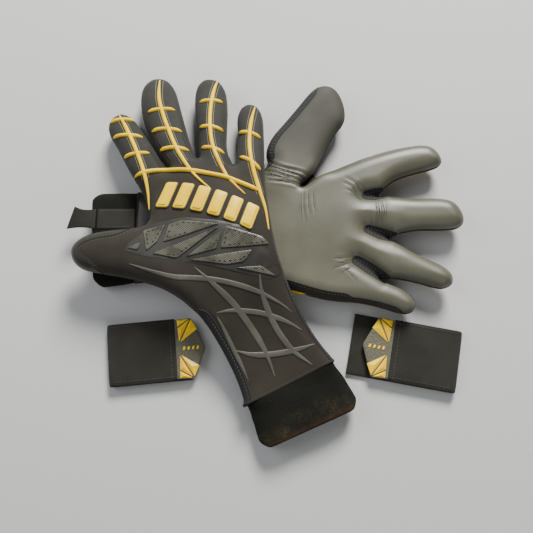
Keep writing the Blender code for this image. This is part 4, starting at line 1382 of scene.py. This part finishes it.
def edge_rib(glove):
    """The end of the knuckle rib, where it comes round the edge of the left hand."""
    x = np.linspace(*EDGE_RIB_SPAN, 24)
    y = np.interp(x, *zip(*EDGE_RIB_LINE))
    z = glove.centre.at(x, y) + np.linspace(-1.5, 1.5, len(x))
    path = drop(glove, np.stack([x, y - 0.1, z], 1), 6)
    rise = taper(len(x), 0.2, 0.3)
    shape = Build()
    sweep(shape, path, unit(slope_of(glove.level, path)), 0.3 + 0.75 * rise, 0.3 + 0.8 * rise)
    piece("left_knuckle_bead_end", shape, "gold_silicone", "left_hand")


def punch_strip(glove):
    """Six slanted plain bars, each with a raised inner face and a dark border."""
    low, top = (resample(catmull(line, 12, False), 0.5) for line in (PUNCH_LOW, PUNCH_TOP))

    def edge(line, t):
        return line[int(round(np.clip(t, 0, 1) * (len(line) - 1)))]

    bars, border, on_back = Build(), Build(), on_skin(glove)
    pitch = (1 - PUNCH_SLANT) / PUNCH_BARS
    for k in range(PUNCH_BARS):
        first, last = k * pitch + 0.012, (k + 1) * pitch - 0.030
        places = (low, first), (low, last), (top, last + PUNCH_SLANT), (top, first + PUNCH_SLANT)
        outline = np.array([edge(*place) for place in places])
        middle = outline.mean(0)
        outline = rounded(plan_for(glove.side, rounded(middle + (outline - middle) * 0.97, 1.6)), 0.2, 1)
        plate(bars, outline, on_back, height=1.7, edge=0.6, sink=0.4, spacing=1.6)
        face = inset(resample(close(outline), 1.0)[:-1], 1.5)
        plate(bars, face, on_back, height=2.35, edge=0.5, sink=0.0, spacing=1.6)
        plate(border, inset(outline, -0.9), on_back, height=0.45, edge=0.25, sink=0.4, spacing=2.4)
    name = f"{glove.side}_punch"
    piece(f"{name}_bars", bars, "gold_silicone", f"{glove.side}_hand", [f"{name}_strip"])
    piece(f"{name}_borders", border, "bar_border", f"{glove.side}_hand")


DASH_INSET = 2.1
DASH_PITCH = 3.9
DASH_REACH = 0.95  # half a dash's length
DASH_LIFT = 1.02  # just above the shards
DASH_MARGIN = 1.4  # to the shard's edge
SHORTEST_ROW = 5.0


def perforate(build, glove, corners):
    """A row of small dark dashes inside each long edge of one shard."""
    ring = inset(corners, DASH_INSET)
    for a, b in zip(ring, np.roll(ring, -1, 0)):
        length = np.linalg.norm(b - a)
        if length < SHORTEST_ROW:
            continue
        heading = (b - a) / length
        for t in np.arange(1.6, length - 1.2, DASH_PITCH):
            spot = a + heading * t
            if polygon_distance(*spot, corners) > -DASH_MARGIN:
                continue
            ends = plan_for(glove.side, [spot + heading * reach for reach in (-DASH_REACH, 0, DASH_REACH)])
            points, normals = glove.skin_with_normal(*ends.T)
            sweep(build, points + normals * DASH_LIFT, normals, [0.25, 0.52, 0.25], [0.06, 0.12, 0.06], 6)


def shard_panel(glove):
    """The glossy shards on their dark base, with their rows of dashes."""
    side, on_back = glove.side, on_skin(glove)
    base, shards, holes = Build(), Build(), Build()
    outline = plan_for(side, resample(rounded(SHARD_BASE, 3.0), 2.0))
    plate(base, outline, on_back, height=0.14, edge=0.10, sink=0.4, spacing=2.2)
    for shard in SHARDS:
        outline = plan_for(side, resample(close(rounded(shard, 0.8, 2)), 1.6)[:-1])
        plate(shards, outline, on_back, height=1.0, edge=0.35, sink=0.4, spacing=1.8)
        perforate(holes, glove, np.array(shard, float))
    piece(f"{side}_shard_base", base, "shard_base", f"{side}_hand")
    piece(f"{side}_shards", shards, "shard_film", f"{side}_hand", [f"{side}_shard_panel"])
    piece(f"{side}_shard_holes", holes, "perforation", f"{side}_hand")


def backhand_design(glove):
    """Knuckle rib, punch bars, glossy shards and the wrist web of one glove."""
    side, rib, web = glove.side, Build(), Build()
    knuckle = catmull(KNUCKLE, 14, False)
    bead(rib, glove, knuckle, thick=1.28, tapers=(0.07, 0.05, 0.8), lift=0.45, smoothing=14)
    piece(f"{side}_knuckle_bead", rib, "gold_silicone", f"{side}_hand", [f"{side}_knuckle_rib"])
    punch_strip(glove)
    shard_panel(glove)
    for path, width in WEB.values():
        points, normals = lay(glove, plan_for(side, catmull(path, 14, False)))
        wide = 0.25 + width * 1.16 * taper(len(points), 0.30, 0.30, 0.8)
        sweep(web, points, normals, wide, 0.16 + 0.34 * np.minimum(1, wide), 12, 0.6)
    piece(f"{side}_web_print", web, "web_print", f"{side}_hand", [f"{side}_wrist_web"])


# ---------------------------------------------------------------- cuffs
CUFFS = {
    "right": {
        "route": [(17.8, -100.6, 10.4), (26.5, -119.0, 10.6), (34.6, -137.4, 10.6)],
        "half": [37.4, 39.2, 40.6],
        "height": [7.3, 7.5, 7.7],
    },
    "left": {
        "route": [(-103.0, 14.8, 9.5), (-122.0, 13.6, 9.6), (-140.0, 12.4, 9.6)],
        "half": [38.6, 39.2, 39.8],
        "height": [7.2, 7.5, 7.7],
    },
}
CUFF_WALL = 1.9
CUFF_ROUND = 110  # points round a cuff
CUFF_FADE = 16.0  # the length in which the skin's section at the seam turns into the cuff's own
CORNER_PULL = 7.5  # how far the rim is drawn in at its two sides


def cuff_ring(half, height):
    """Across and up places round a flat tube's section, evenly spaced."""
    angle = np.linspace(0, 2 * np.pi, 4 * CUFF_ROUND, endpoint=False)
    across, up = rounded_section(angle, 0.55, 0.9)
    loop = close(np.stack([across * half, up * height], 1))
    return resample(loop, np.linalg.norm(np.diff(loop, axis=0), axis=1).sum() / CUFF_ROUND)[:CUFF_ROUND]


def skin_ring(glove, centre, forward):
    """Across and up places where the glove's skin crosses the plane of the cuff's seam."""
    aim_at = unit(cuff_ring(30.0, 6.0))
    low, high = np.zeros(CUFF_ROUND), np.full(CUFF_ROUND, 60.0)
    for _ in range(30):
        reach = (low + high) / 2
        across, up = (aim_at * reach[:, None]).T
        plan = centre[:2] + across[:, None] * [forward[1], -forward[0]]
        inside = glove.level(np.column_stack([plan, centre[2] + up])) < 0
        low, high = np.where(inside, reach, low), np.where(inside, high, reach)
    return aim_at * low[:, None]


def cuff_tube(glove):
    """The elastic cuff: an open tube with a thick, slightly rolled rim."""
    side, spec = glove.side, CUFFS[glove.side]
    route = resample(catmull(np.column_stack([spec["route"], spec["half"], spec["height"]]), 12, False), 1.0)
    forward = unit(np.gradient(route[:, :2], axis=0))
    last = len(route) - 1
    first = skin_ring(glove, route[0], forward[0])
    first_reach = np.maximum(np.linalg.norm(first, axis=1, keepdims=True), 1)
    stations = [(k, 0.0, 0.0) for k in range(last + 1)] + [(last, 0.35 * CUFF_WALL, 0.5)]
    stations += [(k, CUFF_WALL, 0.0) for k in (last, *range(last - 1, 2, -3))]
    rings = []
    for k, shrink, rolled in stations:
        (x, y, z, half, height), (dx, dy), length = route[k], forward[k], k / last
        own = smoothstep(0.0, CUFF_FADE, float(k))
        ring = cuff_ring(half - shrink, height - shrink) * own
        across, up = (ring + first * (1 - (shrink + 0.7) / first_reach) * (1 - own)).T
        corner = np.clip((np.abs(across) / half - 0.80) / 0.20, 0, 1) ** 2
        wave = 0.35 * np.sin(across * 0.16 + 4 * length) * length
        back = rolled - CORNER_PULL * corner * smoothstep(0.45, 1.0, length)
        rings.append(np.stack([x + dx * back + dy * across, y + dy * back - dx * across, z + up + wave], 1))
    tube = Build()
    tube.add(rings, ring_faces(len(rings), CUFF_ROUND, False))
    piece(f"{side}_cuff_sleeve", tube, "cuff_knit", f"{side}_hand", [f"{side}_cuff"])
    seam, inward = glove.cuff_axis()
    across, up = skin_ring(glove, np.array([*seam, route[0][2]]), -inward).T
    beside = across[:, None] * [-inward[1], inward[0]]
    ring, out = np.column_stack([seam + beside, route[0][2] + up]), np.column_stack([beside * 0.05, up])
    ring, out = (np.concatenate([values, values[:2]]) for values in (ring, out))
    lip, groove = Build(), Build()
    sweep(lip, ring, out, 0.6, 0.35, 8)
    piece(f"{side}_cuff_lip", lip, "backhand_fabric", f"{side}_hand")
    sweep(groove, ring - np.array([*inward, 0]) * 0.9, out, 0.5, 0.3, 8)
    piece(f"{side}_cuff_groove", groove, "seam_cord", f"{side}_hand", slot="knit")


# ---------------------------------------------------------------- straps and pull tabs
def frame_of(place, heading):
    """A function that gives points in space from places along, beside and above a strap."""
    turn = math.radians(heading)
    forward = np.array([math.cos(turn), math.sin(turn), 0])
    aside = np.array([-forward[1], forward[0], 0])

    def put(x, y, z):
        x, y, z = (values[..., None] for values in np.broadcast_arrays(x, y, z))
        return np.array([*place, 0.0]) + x * forward + y * aside + z * np.array(UP)

    return put


def web_strip(build, middles, half, thick, put, power=0.45):
    """Woven webbing along (x, z, width share) places, with rounded long edges."""
    middles = np.asarray(middles, float)
    slope = unit(np.gradient(middles[:, :2], axis=0))
    across, up = rounded_section(np.linspace(0, 2 * np.pi, 28, endpoint=False), 0.22, power)
    rise, rings = up * thick / 2, []
    for (x, z, share), (dx, dz) in zip(middles, slope):
        rings.append(put(x - dz * rise, across * half * share, z + dx * rise))
    build.add(rings, ring_faces(len(rings), len(across)))


STRAPS = {  # where the fold lies, the heading from it in degrees, and the lower band's length
    "right": {"fold": (-125, -81.5), "heading": 5.5, "lower": 65.0},
    "left": {"fold": (151.5, -86.5), "heading": 169.5, "lower": 86.0},
}
STRAP_HALF = 24.5  # half a strap's width
LAYER = 3.0  # thickness of one layer
UPPER_LOW = 4.8  # the upper layer's underside
UPPER_TOP = UPPER_LOW + LAYER
UPPER_END = 54.0  # how far the upper layer reaches from the fold
TAB_THICK = 2.8
TAB_TOP = UPPER_LOW + TAB_THICK
TAB_START = UPPER_END + 0.9
TAB_HALF = STRAP_HALF - 0.5
TAB_BARS = 4
TAB_BAR_START = 4.4
TAB_BAR_PITCH = 3.6
BAND_STITCH_INSET = 2.6
BAND_STITCH_PITCH = 3.1
END_STITCH_INSET = 4.1
END_STITCH_PITCH = 2.9
# The corners of the gold facets on one half of a tab, and a facet's foot, shoulder and peak.
FACETS = [
    [(1.2, 23.0), (10.4, 23.4), (1.4, 17.6)],
    [(1.5, 16.4), (10.9, 22.5), (2.0, 5.6)],
    [(12.3, 22.6), (16.6, 14.4), (3.0, 5.2)],
]
FACET_LEVELS = (-0.3, 0.45, 1.9)


def stitch_row(build, put, places, step, kind):
    """A row of stitches from places on a strap, each reaching two steps on."""
    for place in places:
        stitch(build, [put(*np.add(place, np.multiply(step, k))) for k in range(3)], UP, kind)


def strap_elastic(side, put):
    """The folded band: the lower layer, the round fold and the upper layer."""
    radius = UPPER_LOW / 2
    middle_z, centre_x = radius + LAYER / 2, radius + LAYER / 2
    lower = [(x, LAYER / 2, 1.0) for x in np.arange(STRAPS[side]["lower"], centre_x, -2.0)]
    angles = np.linspace(0, math.pi, 13)
    bend = [(centre_x - radius * math.sin(t), middle_z - radius * math.cos(t), 1.0) for t in angles]
    upper = [(x, UPPER_LOW + LAYER / 2, 1.0) for x in (*np.arange(centre_x + 2, UPPER_END, 2.0), UPPER_END)]
    fabric = Build()
    web_strip(fabric, lower + bend + upper, STRAP_HALF, LAYER, put)
    bands = [f"{side}_strap_lower_band", f"{side}_strap_upper_band"]
    made = piece(f"{side}_strap_elastic", fabric, "woven_elastic", None, bands)
    start, end = put(4.0, 0, LAYER - 0.1), put(4.0, 0, UPPER_LOW + 0.1)
    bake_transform(made)


def strap_sewing(side, put):
    """Stitches along the upper band's edges and across its end, and welts under them."""
    stitches, welts = Build(), Build()
    ups = [UP] * 30
    for y in (BAND_STITCH_INSET - STRAP_HALF, STRAP_HALF - BAND_STITCH_INSET):
        places = [(x, y, UPPER_TOP - 0.05) for x in np.arange(6.0, UPPER_END - 3, BAND_STITCH_PITCH)]
        stitch_row(stitches, put, places, (0.95, 0, 0), "strap")
        sweep(welts, put(np.linspace(4.5, UPPER_END - 1, 30), y, UPPER_TOP - 0.18), ups, 0.55, 0.30, 6)
    reach = STRAP_HALF - 0.7
    sweep(welts, put(UPPER_END - 1.6, np.linspace(-reach, reach, 30), UPPER_TOP - 0.25), ups, 1.25, 0.65, 8)
    across = np.arange(2.5 - STRAP_HALF, STRAP_HALF - 2.5, END_STITCH_PITCH)
    places = [(UPPER_END - END_STITCH_INSET, y, UPPER_TOP) for y in across]
    stitch_row(stitches, put, places, (0, 0.9, 0), "strap_end")
    piece(f"{side}_strap_stitches", stitches, "strap_thread", f"{side}_strap_flap")
    piece(f"{side}_strap_welts", welts, "woven_elastic", f"{side}_strap_flap")


def strap_tab(side, put):
    """The rubber tab with six gold facets and four tiny plain bars."""
    tab, facets, bars, flap = Build(), Build(), Build(), f"{side}_strap_flap"

    def on_tab(x, y, lift):
        return put(x + TAB_START, y, UPPER_LOW + lift)

    outline = [(-2.4, 0.6 - TAB_HALF), (12.4, -TAB_HALF), (22.2, 0), (12.4, TAB_HALF), (-2.4, TAB_HALF - 0.6)]
    plate(tab, rounded(outline, 1.6), on_tab, height=TAB_THICK, edge=0.6, sink=-0.1, spacing=2.4)
    piece(f"{side}_strap_tab", tab, "pebbled_rubber", flap, [f"{side}_strap_end_tab"])
    for mirror in (1, -1):
        for facet in FACETS:
            corners = np.array([(x + TAB_START, y * mirror) for x, y in facet])
            peak = corners.mean(0) * 0.9 + corners[0] * 0.1
            plans = (corners.T, corners.T, peak[:, None])
            points = [put(*plan, TAB_TOP + level) for plan, level in zip(plans, FACET_LEVELS)]
            faces = [(0, 1, 4, 3), (1, 2, 5, 4), (2, 0, 3, 5), (3, 4, 6), (4, 5, 6), (5, 3, 6), (2, 1, 0)]
            facets.add(np.concatenate(points), [face[:: turn_of(corners)] for face in faces])
    data = facets.mesh("facets")
    data.shade_flat()
    piece(f"{side}_strap_facets", data, "gold_silicone", flap, [f"{side}_strap_inlay"])
    for x in TAB_BAR_START + TAB_BAR_PITCH * np.arange(TAB_BARS):
        bar = rounded([(x, -1.5), (x + 1.7, -1.5), (x + 2.5, 1.5), (x + 0.8, 1.5)], 0.4)
        plate(bars, bar, on_tab, height=3.25, edge=0.2, sink=-2.4, spacing=1.6)
    piece(f"{side}_strap_tab_bars", bars, "gold_silicone", flap)


def strap_set(side):
    """One folded wrist strap with its rubber end tab. Its hook patch keeps the CAD's shape."""
    put = frame_of(STRAPS[side]["fold"], STRAPS[side]["heading"])
    strap_elastic(side, put)
    strap_sewing(side, put)
    strap_tab(side, put)
    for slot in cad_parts[f"{side}_strap_hook_patch"].material_slots:
        slot.material = MATERIALS["hook_patch"]


# The right cuff is turned in the plan, so its webbing's length, half width and heading are given.
RIGHT_WEBBING = {"pull_tape": 30.0, "pull_tab": 21.0}
RIGHT_WEBBING_HALF = 8.5
RIGHT_WEBBING_HEADING = 116.5655
TAPE_SHIFT = 1.6  # how far the left tape lies from its node's middle
WEBBING_PLACES = 16


def turn_up(points, low, size):
    """The left pull tab's free end, turned up a little and out of square."""
    share = 1 - np.clip((points[:, 0] - low[0]) / size[0], 0, 1)
    across = points[:, 1] - low[1] - size[1] / 2
    shift = [
        share**2 * (0.34 * across + 1.5),
        0.6 * share - 1.8 - 0.14 * across * np.sin(np.pi * share),
        share**2 * (1.1 + 0.16 * across),
    ]
    return points + np.stack(shift, 1)


def pull_webbing(side, label, body):
    """The webbing of a cuff's pull tab, or the tape that sews it on."""
    low, high = np.array(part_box(f"{side}_{label}")) / MM
    centre, size = (low + high) / 2, high - low
    length, half, heading = size[0], size[1] / 2, 0.0
    if side == "right":
        length, half, heading = RIGHT_WEBBING[label], RIGHT_WEBBING_HALF, RIGHT_WEBBING_HEADING
    turn = math.radians(heading)
    put = frame_of(centre[:2] - np.array([math.cos(turn), math.sin(turn)]) * length / 2, heading)
    bent = 1.0 if (side, label) == ("left", "pull_tab") else 0.0
    places = []
    for t in np.linspace(0, 1, WEBBING_PLACES):
        curl = bent * (1 - t) ** 2
        places.append((length * t, centre[2] + 0.8 * curl, 1 + 0.07 * curl))
    build = Build()
    web_strip(build, places, half, size[2], put, 0.5)
    if bent:
        build.points = [turn_up(build.points[0], low, size)]
    if (side, label) == ("left", "pull_tape"):
        build.points[0][:, 1] -= TAPE_SHIFT
    name = f"{side}_{label}_webbing"
    piece(name, build, "woven_elastic", body, [f"{side}_{label}"])
    if (side, label) == ("left", "pull_tape"):
        stitches = Build()
        for y in (-half + 1.6, half - 1.6):
            places = [(x, y - TAPE_SHIFT, high[2]) for x in np.arange(1.5, length - 2.5, 2.6)]
            stitch_row(stitches, put, places, (0.8, 0, 0), "tape")
        piece(f"{name}_stitches", stitches, "strap_thread", body)


def main():
    make_materials()
    setup_camera()
    setup_stage()
    for side in GLOVES:
        glove = build_glove(side)
        cuff_tube(glove)
        for finger in SPINES:
            finger_ribs(glove, finger)
        backhand_design(glove)
        crotch_welts(glove)
        if side == "left":
            edge_rib(glove)
            palm_wrinkles(glove)
        pull_webbing(side, "pull_tape", f"{side}_hand")
        pull_webbing(side, "pull_tab", f"{side}_pull_tab")
        strap_set(side)


main()
